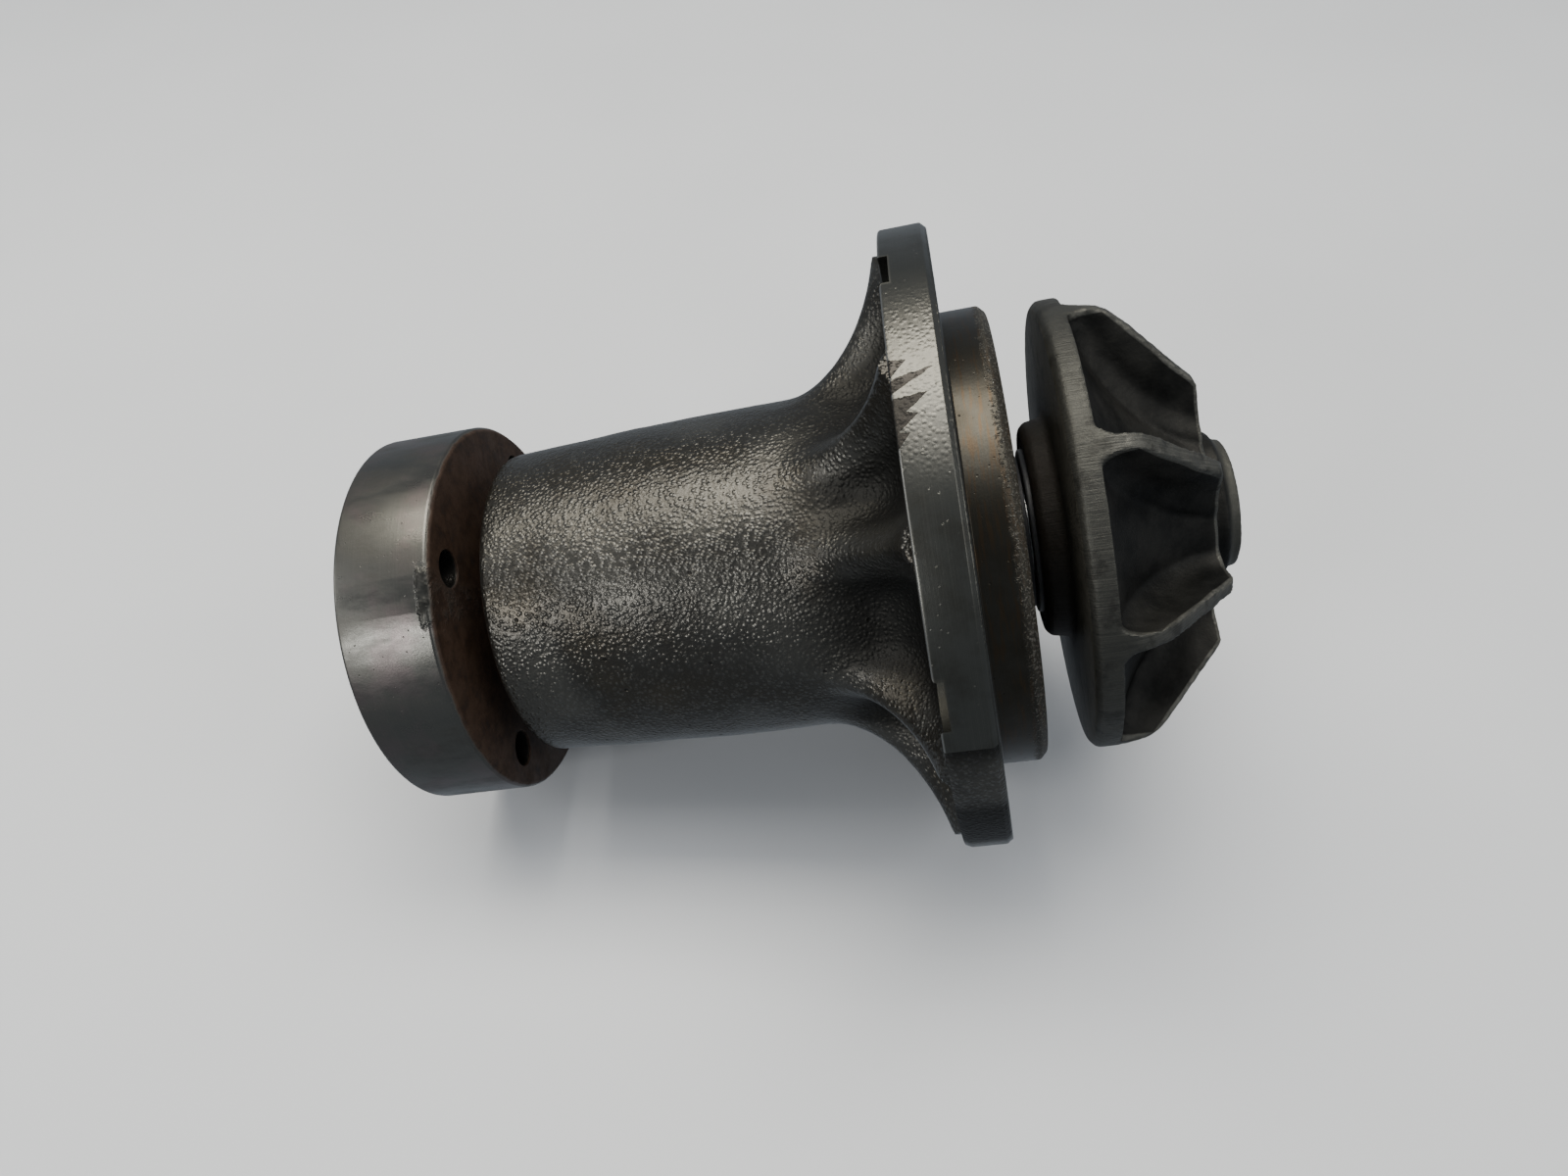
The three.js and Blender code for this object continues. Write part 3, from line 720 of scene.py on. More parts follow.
def turned(points: Sequence[Point], steps: int = 192, closed: bool = False) -> Mesh:
    """Spin a profile of (x, radius) about the shaft axis.

    Args:
        points: the profile; an open one starts and ends on the axis.
        steps: sides in the full circle.
        closed: join the last point to the first.

    Returns:
        A closed mesh with its faces outwards.
    """
    bm = bmesh.new()
    verts = [bm.verts.new((x * MM, 0.0, r * MM)) for x, r in points]
    edges = [bm.edges.new(pair) for pair in zip(verts, verts[1:])]
    if closed:
        edges.append(bm.edges.new((verts[-1], verts[0])))
    swung(bm, [*verts, *edges], FULL_TURN, steps, merge=True)
    bmesh.ops.remove_doubles(bm, verts=bm.verts, dist=MERGE_DISTANCE)
    bmesh.ops.recalc_face_normals(bm, faces=bm.faces)
    return bm


def rod(start: float, end: float, radius: float, steps: int = 48, flare: float = 0.0) -> Mesh:
    """Make a round bar along X.

    Args:
        start: station of one end, in millimetres.
        end: station of the other end.
        radius: the bar's radius.
        steps: sides in the full circle.
        flare: size of a cone at each end, which breaks a hole's edge.

    Returns:
        A closed mesh.
    """
    points = [(start, 0.0), (start, radius), (end, radius), (end, 0.0)]
    if flare > 0:
        points = [
            (start, 0.0),
            (start, radius + flare),
            (start + flare, radius),
            (end - flare, radius),
            (end, radius + flare),
            (end, 0.0),
        ]
    return turned(points, steps)


def placed(bm: Mesh, out: float, angle: float) -> Mesh:
    """Move a mesh out from the shaft and round it by an angle in degrees."""
    return moved(bm, about_shaft(angle) @ Matrix.Translation((0.0, 0.0, out * MM)))


def spread(count: int, first: float = 0.0) -> list[float]:
    """Evenly spaced angles in degrees."""
    return [first + 360.0 / count * i for i in range(count)]


def _temporary(name: str, bm: Mesh) -> bpy.types.Object:
    """Hold a mesh in a short-lived object.

    Args:
        name: the object's name.
        bm: its mesh; it is used up.

    Returns:
        The object, linked to the scene so that modifiers can work on it.
    """
    mesh = bpy.data.meshes.new(name)
    bm.to_mesh(mesh)
    bm.free()
    made = bpy.data.objects.new(name, mesh)
    bpy.context.scene.collection.objects.link(made)
    return made


def _scrap(item: bpy.types.Object) -> None:
    """Delete a short-lived object and its mesh."""
    mesh = item.data
    bpy.data.objects.remove(item)
    bpy.data.meshes.remove(mesh)


def _worked(body: bpy.types.Object) -> Mesh:
    """Take the mesh that a short-lived object's modifiers make, and scrap the object.

    Args:
        body: the object.

    Returns:
        The mesh with every modifier in it.
    """
    evaluated = body.evaluated_get(bpy.context.evaluated_depsgraph_get())
    made = bmesh.new()
    made.from_mesh(evaluated.to_mesh())
    evaluated.to_mesh_clear()
    _scrap(body)
    return made


def carve(base: Mesh, tool: Mesh, how: Carve) -> Mesh:
    """Add, remove or intersect one closed mesh with another.

    Args:
        base: the mesh that is worked on; it is used up.
        tool: the mesh that works on it; it is used up.
        how: what the tool does.

    Returns:
        The new mesh.
    """
    body = _temporary("carve_body", base)
    cutter = _temporary("carve_tool", tool)
    modifier = body.modifiers.new("carve", "BOOLEAN")
    modifier.operation = how.value
    modifier.solver = "MANIFOLD"
    modifier.object = cutter
    made = _worked(body)
    _scrap(cutter)
    bmesh.ops.remove_doubles(made, verts=made.verts, dist=MERGE_DISTANCE)
    return made


def cast_smooth(base: Mesh, voxel: float, passes: int) -> Mesh:
    """Melt a solid's corners together as a mould does.

    Args:
        base: the mesh; it is used up.
        voxel: grid size in millimetres.
        passes: rounds of smoothing.

    Returns:
        An even mesh with rounded edges and filleted corners.
    """
    body = _temporary("cast_body", base)
    remesh = body.modifiers.new("remesh", "REMESH")
    remesh.mode = "VOXEL"
    remesh.voxel_size = voxel * MM
    smooth = body.modifiers.new("smooth", "SMOOTH")
    smooth.factor = 0.5
    smooth.iterations = passes
    return _worked(body)


def shaft_point(vertex: bmesh.types.BMVert) -> tuple[float, float, float]:
    """A vertex as millimetres along the shaft, out from it, and degrees round it."""
    x, y, z = vertex.co / MM
    return x, math.hypot(y, z), math.degrees(math.atan2(-y, z))


def set_radius(vertex: bmesh.types.BMVert, radius: float) -> None:
    """Move a vertex to a radius in millimetres, straight out from the shaft.

    Args:
        vertex: the vertex; one on the axis stays there.
        radius: its new distance from the axis.
    """
    now = math.hypot(vertex.co.y, vertex.co.z)
    if now > 1e-9:
        vertex.co.y *= radius * MM / now
        vertex.co.z *= radius * MM / now


@dataclass
class Workshop:
    """Turns finished meshes into pieces of the object."""

    sharp_angle: float = 32.0

    def piece(
        self,
        name: str,
        bm: Mesh,
        body: Body,
        material: bpy.types.Material,
        slot: str,
        *nodes: str,
    ) -> bpy.types.Object:
        """Make one piece, put it on its body and let it stand for CAD nodes.

        Args:
            name: the piece's name.
            bm: its mesh in the row frame; it is used up.
            body: the body that it rides on.
            material: its finish.
            slot: name of a material slot; it is not used.
            nodes: the CAD nodes that it stands for.

        Returns:
            The new object.
        """
        mesh = bpy.data.meshes.new(name)
        bm.to_mesh(mesh)
        bm.free()
        mesh.materials.append(material)
        mesh.polygons.foreach_set("use_smooth", [True] * len(mesh.polygons))
        mesh.set_sharp_from_angle(angle=math.radians(self.sharp_angle))
        made = bpy.data.objects.new(name, mesh)
        bpy.context.scene.collection.objects.link(made)
        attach(made, body.value)
        if nodes:
            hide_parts(*nodes)
        LOG.info("%s: %d faces on %s", name, len(mesh.polygons), body.value)
        return made


# ----------------------------------------------------------------------- the castings


@dataclass
class PumpBody:
    """The cast body: barrel, ribs, flange, pilot and bores."""

    shop: Workshop
    flange_radius: float = 50.0
    flange_thickness: float = 7.2
    relief_radius: float = 48.5
    relief_half_angle: float = 64.0
    pilot_radius: float = 36.35
    pilot_length: float = 7.0
    barrel_length: float = 66.5
    barrel_radius: float = 27.0
    barrel_taper: float = 1.4
    bolt_count: int = 5
    bolt_circle: float = 42.5
    bolt_hole: float = 3.3
    first_bolt: float = -6.5
    spot_radius: float = 8.2
    spot_depth: float = 1.4
    rib_after_bolt: tuple[float, float] = (18.0, 48.0)
    rib_spread: float = 7.5
    rib_reach: float = 20.5
    rib_rise: float = 31.0
    rib_top: float = 46.4
    valley: float = 9.0
    race_radius: float = 19.05
    chamber_start: float = -19.6
    chamber_radius: float = 17.5
    chamber_length: float = 8.0
    seal_bore: float = 18.5
    mouth_radius: float = 22.0
    mouth_depth: float = 2.7
    weep_radius: float = 2.5
    fine_step: float = 0.25
    step_growth: float = 0.035
    long_step: float = 1.6
    end_round: float = 1.2
    unevenness: tuple[Point, ...] = ((0.16, 0.12), (0.05, 0.45))

    @property
    def back(self) -> float:
        """Station of the flange's back face."""
        return -self.flange_thickness

    @property
    def end(self) -> float:
        """Station of the barrel's open end."""
        return self.back - self.barrel_length

    def build(self) -> None:
        """Make the body and dress it."""
        body = self._plate()
        body = carve(body, self._relief(), Carve.REMOVE)
        body = carve(body, self._casting(), Carve.ADD)
        for angle in spread(self.bolt_count, self.first_bolt):
            spot = rod(self.back - 16.0, self.back + self.spot_depth, self.spot_radius, 96)
            hole = rod(self.back - 3.0, 0.25, self.bolt_hole, 64)
            wide, narrow = self.bolt_hole + 0.7, self.bolt_hole - 0.3
            edge = turned([(0.3, 0.0), (0.3, wide), (-0.7, narrow), (-0.7, 0.0)], 64)
            for tool in (spot, hole, edge):
                body = carve(body, placed(tool, self.bolt_circle, angle), Carve.REMOVE)
        body = carve(body, self._bores(), Carve.REMOVE)
        body = carve(body, self._weep(), Carve.REMOVE)
        skin = CastSkin().material()
        self.shop.piece("pump_body_casting", body, Body.HOUSING, skin, "cast_body", "pump_body")

    def _plate(self) -> Mesh:
        """Flange disc and pilot, turned in one."""
        profile = [
            (self.back, 0.0),
            (self.back, self.flange_radius, 0.45),
            (-0.9, self.flange_radius, 0.12),
            (0.0, self.flange_radius - 0.9, 0.12),
            (0.0, self.pilot_radius + 0.25, 0.05),
            (0.25, self.pilot_radius, 0.05),
            (self.pilot_length - 1.1, self.pilot_radius, 0.3),
            (self.pilot_length, self.pilot_radius - 1.1, 0.3),
            (self.pilot_length, 0.0),
        ]
        return turned(softened(profile), 288)

    def _relief(self) -> Mesh:
        """Metal that the rim's unmachined sector doesn't have."""
        bm = bmesh.new()
        outside = self.flange_radius + 5.0
        corners = [
            (self.back - 1.0, self.relief_radius - 0.95),
            (self.back + 0.9, self.relief_radius - 0.05),
            (-0.9, self.relief_radius - 0.05),
            (1.0, self.relief_radius - 1.4),
            (1.0, outside),
            (self.back - 1.0, outside),
        ]
        verts = [bm.verts.new((x * MM, 0.0, r * MM)) for x, r in corners]
        edges = [bm.edges.new((verts[i - 1], verts[i])) for i in range(len(verts))]
        swung(bm, [*verts, *edges], math.radians(2 * self.relief_half_angle), 120)
        middle = self.first_bolt + 720.0 / self.bolt_count
        return moved(capped(bm), about_shaft(middle - self.relief_half_angle))

    def _casting(self) -> Mesh:
        """Barrel and ribs, from a turned blank whose wall is pressed in between the crests."""
        stations = [self.back + 1.0]
        reached = 0.0
        while reached < self.barrel_length - 1.4:
            stations.append(self.back - reached)
            on_ribs = reached < self.rib_reach + 4.0
            reached += self.fine_step + reached * self.step_growth if on_ribs else self.long_step
        stations += [self.end + left for left in (self.end_round, 0.7, 0.3, 0.1, 0.0)]
        points = [(stations[0], 0.0)]
        points += [(x, self.rib_top) for x in stations]
        points.append((self.end, 0.0))
        bm = turned(points, 360)
        for vertex in bm.verts:
            x, radius, angle = shaft_point(vertex)
            if radius < 1.0:
                continue
            set_radius(vertex, self._cast_radius(x, angle))
        return bm

    def _cast_radius(self, x: float, angle: float) -> float:
        """Outside radius of the raw casting at a station and an angle.

        Args:
            x: the station in millimetres.
            angle: degrees round the shaft.

        Returns:
            The radius in millimetres.
        """
        at = min(x, self.back)
        low = self._flare(at, self.valley, self.valley)
        high = self._flare(at, self.rib_reach, self.rib_rise)
        crest = self._crest(at, angle)
        along = max(0.0, self.back - self.rib_reach - at) / (self.barrel_length - self.rib_reach)
        radius = self.barrel_radius - self.barrel_taper * along * along
        radius += low + max(0.0, high - low) * crest
        rounding = max(0.0, 1.0 - (x - self.end) / self.end_round)
        radius -= 0.75 * self.end_round * (1 - math.sqrt(max(0.0, 1 - rounding * rounding)))
        turn = math.radians(angle)
        skin = Vector((x, radius * math.cos(turn), radius * math.sin(turn)))
        for amount, pitch in self.unevenness:
            radius += amount * noise.noise(skin * pitch)
        return min(self.rib_top, radius)

    def _crest(self, x: float, angle: float) -> float:
        """Share of a rib at an angle: ribs are narrow at the flange and broad on the barrel.

        Args:
            x: the station in millimetres.
            angle: degrees round the shaft.

        Returns:
            1 on a rib's crest, falling to 0 in the flute beside it.
        """
        share = 0.0
        away_from_flange = min(1.0, (self.back - x) / self.rib_reach)
        spread_here = self.rib_spread * (0.78 + 0.5 * away_from_flange)
        for bolt in spread(self.bolt_count, self.first_bolt):
            for after in self.rib_after_bolt:
                away = (angle - bolt - after + 540.0) % 360.0 - 180.0
                share = max(share, math.exp(-abs(away / spread_here) ** 1.7))
        return share

    def _flare(self, x: float, reach: float, rise: float) -> float:
        """Height of a quarter-ellipse flare that ends at the flange's back face.

        Args:
            x: the station in millimetres.
            reach: how far along the barrel the flare starts.
            rise: its height at the flange.

        Returns:
            The height in millimetres.
        """
        u = (x - self.back + reach) / reach
        return 0.0 if u <= 0 else rise * (1 - math.sqrt(max(0.0, 1 - u * u)))

    def _bores(self) -> Mesh:
        """The stepped bore, from the barrel's open end to the seal's mouth."""
        seal_start = self.chamber_start + self.chamber_length
        mouth = self.pilot_length - self.mouth_depth
        profile = [
            (self.end - 1.0, 0.0),
            (self.end - 1.0, self.race_radius + 1.6),
            (self.end + 0.6, self.race_radius, 0.2),
            (self.chamber_start, self.race_radius),
            (self.chamber_start, self.chamber_radius),
            (seal_start, self.chamber_radius),
            (seal_start, self.seal_bore),
            (mouth, self.seal_bore, 0.1),
            (mouth, self.mouth_radius, 0.2),
            (self.pilot_length - 0.4, self.mouth_radius, 0.1),
            (self.pilot_length + 1.0, self.mouth_radius + 1.4),
            (self.pilot_length + 1.0, 0.0),
        ]
        return turned(softened(profile, 3), 144)

    def _weep(self) -> Mesh:
        """Drain hole from the chamber out through the flute underneath."""
        bm = rod(self.chamber_radius - 4.0, self.barrel_radius + 12.0, self.weep_radius, 48)
        middle = sum(self.rib_after_bolt) / 2
        angle = self.first_bolt + 720.0 / self.bolt_count + middle
        station = self.chamber_start + self.chamber_length / 2
        to_station = Matrix.Translation((station * MM, 0.0, 0.0))
        return moved(bm, about_shaft(angle) @ to_station @ Matrix.Rotation(-math.pi / 2, 4, "Y"))


@dataclass
class Impeller:
    """Back disc, hub and eight straight vanes set beside the shaft's centre line."""

    shop: Workshop
    radius: float = 35.5
    start: float = 9.7
    boss_radius: float = 17.3
    disc_back: float = 13.8
    disc_front: float = 17.6
    vane_count: int = 8
    vane_thickness: float = 2.7
    vane_offset: float = 4.1
    first_vane: float = -26.0
    shoulder: float = 5.2
    tip_radius: float = 22.0
    vane_height: float = 17.7
    nose_radius: float = 10.0
    nose_height: float = 22.2
    bore: float = 8.3
    seat_radius: float = 15.0
    seat_end: float = 14.9
    root_fillet: float = 3.6
    tip_thickness: float = 2.2
    root_swell: float = 1.75
    taper_length: float = 12.0
    vane_cuts: int = 26
    vane_lump: float = 0.28
    torn_depth: float = 0.15
    skin_depth: float = 0.03
    voxel: float = 0.42
    rim_floor: float = 35.0
    shoulder_radius: float = 14.6
    shoulder_height: float = 17.0
    floor_top: float = 20.2
    floor_samples: int = 40
    floor_bend: float = 0.68
    floor_flat: float = 1.4

    def build(self) -> None:
        """Make the impeller and dress it."""
        wheel = self._blank()
        for angle in spread(self.vane_count, self.first_vane):
            wheel = carve(wheel, moved(self._vane(), about_shaft(angle)), Carve.ADD)
        wheel = carve(wheel, self._swept_volume(), Carve.KEEP_COMMON)
        wheel = cast_smooth(wheel, self.voxel, 2)
        self._roughen(wheel)
        seat = rod(self.start - 1.0, self.seat_end, self.seat_radius, 144)
        bore = rod(self.start - 2.0, self.disc_front + self.nose_height + 2.0, self.bore, 96)
        wheel = carve(wheel, seat, Carve.REMOVE)
        wheel = carve(wheel, bore, Carve.REMOVE)
        iron = ImpellerIron().material()
        self.shop.piece("impeller_casting", wheel, Body.ROTOR, iron, "impeller_iron", "impeller")

    def _blank(self) -> Mesh:
        """Disc, back boss, curved hub and nose."""
        nose = self.disc_front + self.nose_height
        profile: list[tuple[float, ...]] = [
            (self.start, 0.0),
            (self.start, self.boss_radius - 1.0, 0.3),
            (self.start + 1.0, self.boss_radius, 0.3),
            (self.disc_back, self.boss_radius + 0.4, 1.2),
            (self.disc_back, self.radius - 1.0, 0.35),
            (self.disc_back + 1.0, self.radius, 0.25),
            (self.disc_front + 0.2, self.radius, 0.3),
        ]
        heights = [self.shoulder_height * (i / 24) ** 1.5 for i in range(1, 25)]
        profile += [(self.disc_front + up, self._floor_at(self.disc_front + up)) for up in heights]
        profile.append((self.disc_front + 19.2, 13.0, 1.2))
        profile.append((self.disc_front + 20.4, 10.6, 0.6))
        profile += [
            (self.disc_front + 20.9, self.nose_radius, 0.3),
            (nose, self.nose_radius, 0.8),
            (nose, 0.0),
        ]
        return turned(softened(profile), 240)

    def _floor_at(self, x: float) -> float:
        """Radius of the passage floor at a station.

        Args:
            x: the station in millimetres.

        Returns:
            The radius in millimetres.
        """
        along = min(1.0, max(0.0, (x - self.disc_front) / self.shoulder_height))
        fall = (1 - along**self.floor_bend) ** self.floor_flat
        return self.shoulder_radius + (self.rim_floor - self.shoulder_radius) * fall

    def _clearance(self, x: float, radius: float) -> float:
        """Shortest distance from a point to the passage floor, in millimetres.

        Args:
            x: the point's station.
            radius: its distance from the axis.

        Returns:
            The distance, or 0 under the floor.
        """
        best = 1e9
        for i in range(self.floor_samples + 1):
            up = self.floor_top * i / self.floor_samples
            floor = self._floor_at(self.disc_front + up)
            best = min(best, math.hypot(self.disc_front + up - x, floor - radius))
        return best if radius > self._floor_at(x) else 0.0

    def _vane(self) -> Mesh:
        """One vane standing on +Z, thickened towards its root by a fillet."""
        bm = bmesh.new()
        outline = (
            (self.disc_front - 2.0, self.radius + 1.0),
            (self.disc_front + self.shoulder + 0.6, self.radius + 1.0),
            (self.disc_front + self.vane_height + 0.9, self.tip_radius + 0.4),
            (self.disc_front + self.vane_height + 0.9, self.nose_radius + 3.2),
            (self.disc_front + self.vane_height - 1.0, self.nose_radius + 0.5),
            (self.disc_front - 2.0, self.nose_radius + 6.0),
        )
        half = self.vane_thickness / 2
        verts = [bm.verts.new((x * MM, -half * MM, r * MM)) for x, r in outline]
        face = bm.faces.new(verts)
        grown = bmesh.ops.extrude_face_region(bm, geom=[face])
        top = [v for v in grown["geom"] if isinstance(v, bmesh.types.BMVert)]
        bmesh.ops.translate(bm, vec=(0.0, self.vane_thickness * MM, 0.0), verts=top)
        bmesh.ops.recalc_face_normals(bm, faces=bm.faces)
        along = (self.disc_front - 1.8, self.disc_front + self.vane_height + 0.9)
        outwards = (self.nose_radius + 0.6, self.radius + 0.9)
        for axis, (low, high) in ((0, along), (2, outwards)):
            normal = tuple(1.0 if i == axis else 0.0 for i in range(3))
            for i in range(1, self.vane_cuts):
                at = [0.0, 0.0, 0.0]
                at[axis] = (low + (high - low) * i / self.vane_cuts) * MM
                geom = [*bm.verts, *bm.edges, *bm.faces]
                bmesh.ops.bisect_plane(bm, geom=geom, dist=1e-8, plane_co=at, plane_no=normal)
        for vertex in bm.verts:
            x, y, z = vertex.co / MM
            above = self._clearance(x, math.hypot(z, self.vane_offset))
            short = max(0.0, 1.0 - above / self.root_fillet)
            swell = self.root_swell * short**2.2
            thin = min(1.0, above / self.taper_length)
            thin *= (self.vane_thickness - self.tip_thickness) / 2
            lump = self.vane_lump * noise.noise(Vector((x, y * 3, z)) * 0.22)
            side = 1.0 if y > 0 else -1.0
            vertex.co.y = (y + side * (swell - thin) + lump - self.vane_offset) * MM
        bmesh.ops.triangulate(bm, faces=bm.faces)
        bmesh.ops.recalc_face_normals(bm, faces=bm.faces)
        return bm

    def _roughen(self, wheel: Mesh) -> None:
        """Give the surface a casting's unevenness, and the vanes' tips a torn edge.

        Args:
            wheel: the impeller's mesh; it is changed in place.
        """
        tip_drop = (self.radius - self.tip_radius) / (self.vane_height - self.shoulder)
        wheel.normal_update()
        for vertex in wheel.verts:
            x, radius = shaft_point(vertex)[:2]
            up = x - self.disc_front
            cone = self.radius - max(0.0, up - self.shoulder) * tip_drop
            at_tip = 1.0 if up > 0.5 and radius > cone - 0.5 else 0.0
            at = vertex.co / MM
            rough = self.skin_depth * noise.noise(at * 1.1) + 0.05 * noise.noise(at * 0.35)
            torn = at_tip * (self.torn_depth * noise.noise(at * 0.6) - 0.10)
            if up < -0.5 and radius < self.radius - 0.8:
                torn, rough = 0.0, 0.3 * rough
            rough = min(rough, self.skin_depth) - self.skin_depth
            vertex.co += vertex.normal * (rough + torn) * MM

    def _swept_volume(self) -> Mesh:
        """Everything inside the surface that the vane tips sweep."""
        nose = self.disc_front + self.nose_height + 1.0
        profile = [
            (self.start - 1.0, 0.0),
            (self.start - 1.0, self.radius + 0.001),
            (self.disc_front + self.shoulder, self.radius + 0.001, 4.2),
            (self.disc_front + self.vane_height, self.tip_radius, 0.4),
            (self.disc_front + self.vane_height + 0.02, self.nose_radius + 1.5),
            (nose, self.nose_radius + 1.5),
            (nose, 0.0),
        ]
        return turned(softened(profile), 240)


@dataclass
class DriveHub:
    """The pulley hub pressed on the shaft."""

    shop: Workshop
    radius: float = 31.4
    front: float = -94.3
    back: float = -78.7
    chamfer: float = 0.7
    hole: float = 3.0
    hole_circle: float = 25.0
    hole_count: int = 4
    first_hole: float = 25.3
    bore: float = 8.3
    hole_flare: float = 0.45
    recess_depth: float = 1.2
    recess_radius: float = 14.0
    boss_radius: float = 13.0
    boss_height: float = 2.0
    notch_angle: float = 34.5
    notch_wide: float = 19.6
    notch_narrow: float = 18.4
    notch_length: float = 2.6
    notch_depth: float = 1.0

    def build(self) -> None:
        """Make the hub and dress it."""
        recess = self.recess_depth
        profile = [
            (self.front + recess, 0.0),
            (self.front + recess, self.recess_radius, 0.4),
            (self.front, self.recess_radius + recess, 0.3),
            (self.front, self.radius, 0.6),
            (self.back - self.chamfer, self.radius, 0.25),
            (self.back, self.radius - self.chamfer, 0.25),
            (self.back, self.boss_radius + 1.0, 0.3),
            (self.back + self.boss_height, self.boss_radius, 0.5),
            (self.back + self.boss_height, 0.0),
        ]
        hub = turned(softened(profile), 288)
        hub = carve(hub, rod(self.front - 1.0, self.back + 3.0, self.bore, 96), Carve.REMOVE)
        for angle in spread(self.hole_count, self.first_hole):
            tool = rod(self.front - 0.35, self.back + 0.35, self.hole, 48, self.hole_flare)
            hub = carve(hub, placed(tool, self.hole_circle, angle), Carve.REMOVE)
        hub = carve(hub, self._notch(), Carve.REMOVE)
        steel = TurnedSteel().material()
        self.shop.piece("drive_hub_turned", hub, Body.ROTOR, steel, "hub_steel", "drive_hub")

    def _notch(self) -> Mesh:
        """Shallow ground hollow in the back corner that balances the hub."""
        bm = bmesh.new()
        bmesh.ops.create_cone(
            bm,
            cap_ends=True,
            cap_tris=False,
            segments=96,
            radius1=self.notch_wide * MM,
            radius2=self.notch_narrow * MM,
            depth=self.notch_length * MM,
        )
        to_corner = Matrix.Translation(((self.back - self.chamfer) * MM, 0.0, 0.0))
        moved(bm, to_corner @ Matrix.Rotation(-math.pi / 2, 4, "Y"))
        return placed(bm, self.radius + self.notch_wide - self.notch_depth, self.notch_angle)


# ------------------------------------------------------------------------ the bearing


@dataclass
class Bearing:
    """Shaft, outer race, one row of balls, one of rollers, and two lip seals."""

    shop: Workshop
    shaft_radius: float = 8.0
    shaft_start: float = -92.3
    shaft_end: float = 38.8
    race_start: float = -71.9
    race_end: float = -19.9
    race_outer: float = 18.75
    race_inner: float = 13.9
    row_pitch: float = 10.95
    ball_radius: float = 3.5
    ball_row: float = -31.4
    ball_count: int = 8
    roller_radius: float = 2.7
    roller_length: float = 10.0
    roller_row: float = -59.4
    roller_count: int = 9
    cage_thickness: float = 2.6
    cage_edge: float = 1.3
    cage_gap: float = 0.28
    window_depth: float = 9.0
    groove_gap: float = 0.25

    def build(self) -> None:
        """Make every piece of the bearing."""
        steel = GroundSteel().material()
        polished = GroundSteel("polished_steel", (0.60, 0.60, 0.60), 0.07).material()
        pale, amber = (0.60, 0.45, 0.22), (0.44, 0.31, 0.14)
        resin = Moulded("cage_nylon", pale, amber, 0.42, grain=0.25).material()
        black, lighter = (0.016, 0.016, 0.018), (0.030, 0.029, 0.028)
        rubber = Moulded("lip_rubber", black, lighter, 0.58, grain=0.3).material()
        make, slot = self.shop.piece, "ground_steel"
        make("shaft_ground", self._shaft(), Body.ROTOR, steel, slot, "pump_shaft")
        make("outer_race_ground", self._race(), Body.HOUSING, steel, slot, "bearing_race")
        for i, angle in enumerate(spread(self.ball_count), 1):
            ball = placed(self._ball(), self.row_pitch, angle)
            make(f"bearing_ball_{i}", ball, Body.BALL_TRAIN, polished, slot, f"ball_{i}")
        for i, angle in enumerate(spread(self.roller_count), 1):
            roller = placed(self._roller(), self.row_pitch, angle)
            make(f"bearing_roller_{i}", roller, Body.ROLLER_TRAIN, polished, slot, f"roller_{i}")
        crown, basket, slot = self._ball_cage(), self._roller_cage(), "cage_resin"
        make("ball_crown", crown, Body.BALL_TRAIN, resin, slot, "ball_cage")
        make("roller_basket", basket, Body.ROLLER_TRAIN, resin, slot, "roller_cage")
        for name, node, end, inwards in (
            ("lip_seal_hub", "bearing_seal_hub_side", self.race_start, 1.0),
            ("lip_seal_pump", "bearing_seal_pump_side", self.race_end, -1.0),
        ):
            make(name, self._lip_seal(end, inwards), Body.HOUSING, rubber, "seal_rubber", node)

    def _groove(self, edge: float, side: float) -> list[Point]:
        """Arc of a ball's track between its two edges.

        Args:
            edge: radius at which the track meets the plain surface, in millimetres.
            side: 1 for the track outside the balls and -1 for the one inside them.

        Returns:
            The arc's points from the hub's side to the impeller's.
        """
        radius = self.ball_radius + self.groove_gap
        half = math.acos((edge - self.row_pitch) / (side * radius))
        steps = 16
        return [
            (
                self.ball_row + radius * math.sin(-half + 2 * half * i / steps),
                self.row_pitch + side * radius * math.cos(-half + 2 * half * i / steps),
            )
            for i in range(steps + 1)
        ]

    def _shaft(self) -> Mesh:
        """Shaft with rounded ends, centre holes and the ball track."""
        a, b, r = self.shaft_start, self.shaft_end, self.shaft_radius
        front = [
            (a + 4.2, 0.0),
            (a + 3.4, 1.0),
            (a + 1.5, 1.1),
            (a, 2.3, 0.15),
            (a, r, 0.9),
            (a + 6.0, r),
        ]
        back = [
            (b - 6.0, r),
            (b, r, 0.9),
            (b, 2.3, 0.15),
            (b - 1.5, 1.1),
            (b - 3.4, 1.0),
            (b - 4.2, 0.0),
        ]
        profile = softened(front) + self._groove(r, -1.0) + softened(back)
        return turned(profile, 96)

    def _race(self) -> Mesh:
        """Outer race with its ball track and roller track."""
        a, b, inner, outer = self.race_start, self.race_end, self.race_inner, self.race_outer
        profile = softened(
            [
                (a, inner, 0.2),
                (a, outer, 0.7),
                (b, outer, 0.7),
                (b, inner, 0.2),
            ]
        )
        profile += list(reversed(self._groove(inner, 1.0)))
        return turned(profile, 128, closed=True)

    def _ball(self, gap: float = 0.0, segments: int = 48) -> Mesh:
        """One ball on the shaft's axis, or the larger ball that cuts its pocket.

        Args:
            gap: how much the radius grows, in millimetres.
            segments: sides round the ball.

        Returns:
            The ball.
        """
        bm = bmesh.new()
        radius = (self.ball_radius + gap) * MM
        bmesh.ops.create_uvsphere(bm, u_segments=segments, v_segments=24, radius=radius)
        return moved(bm, Matrix.Translation((self.ball_row * MM, 0.0, 0.0)))

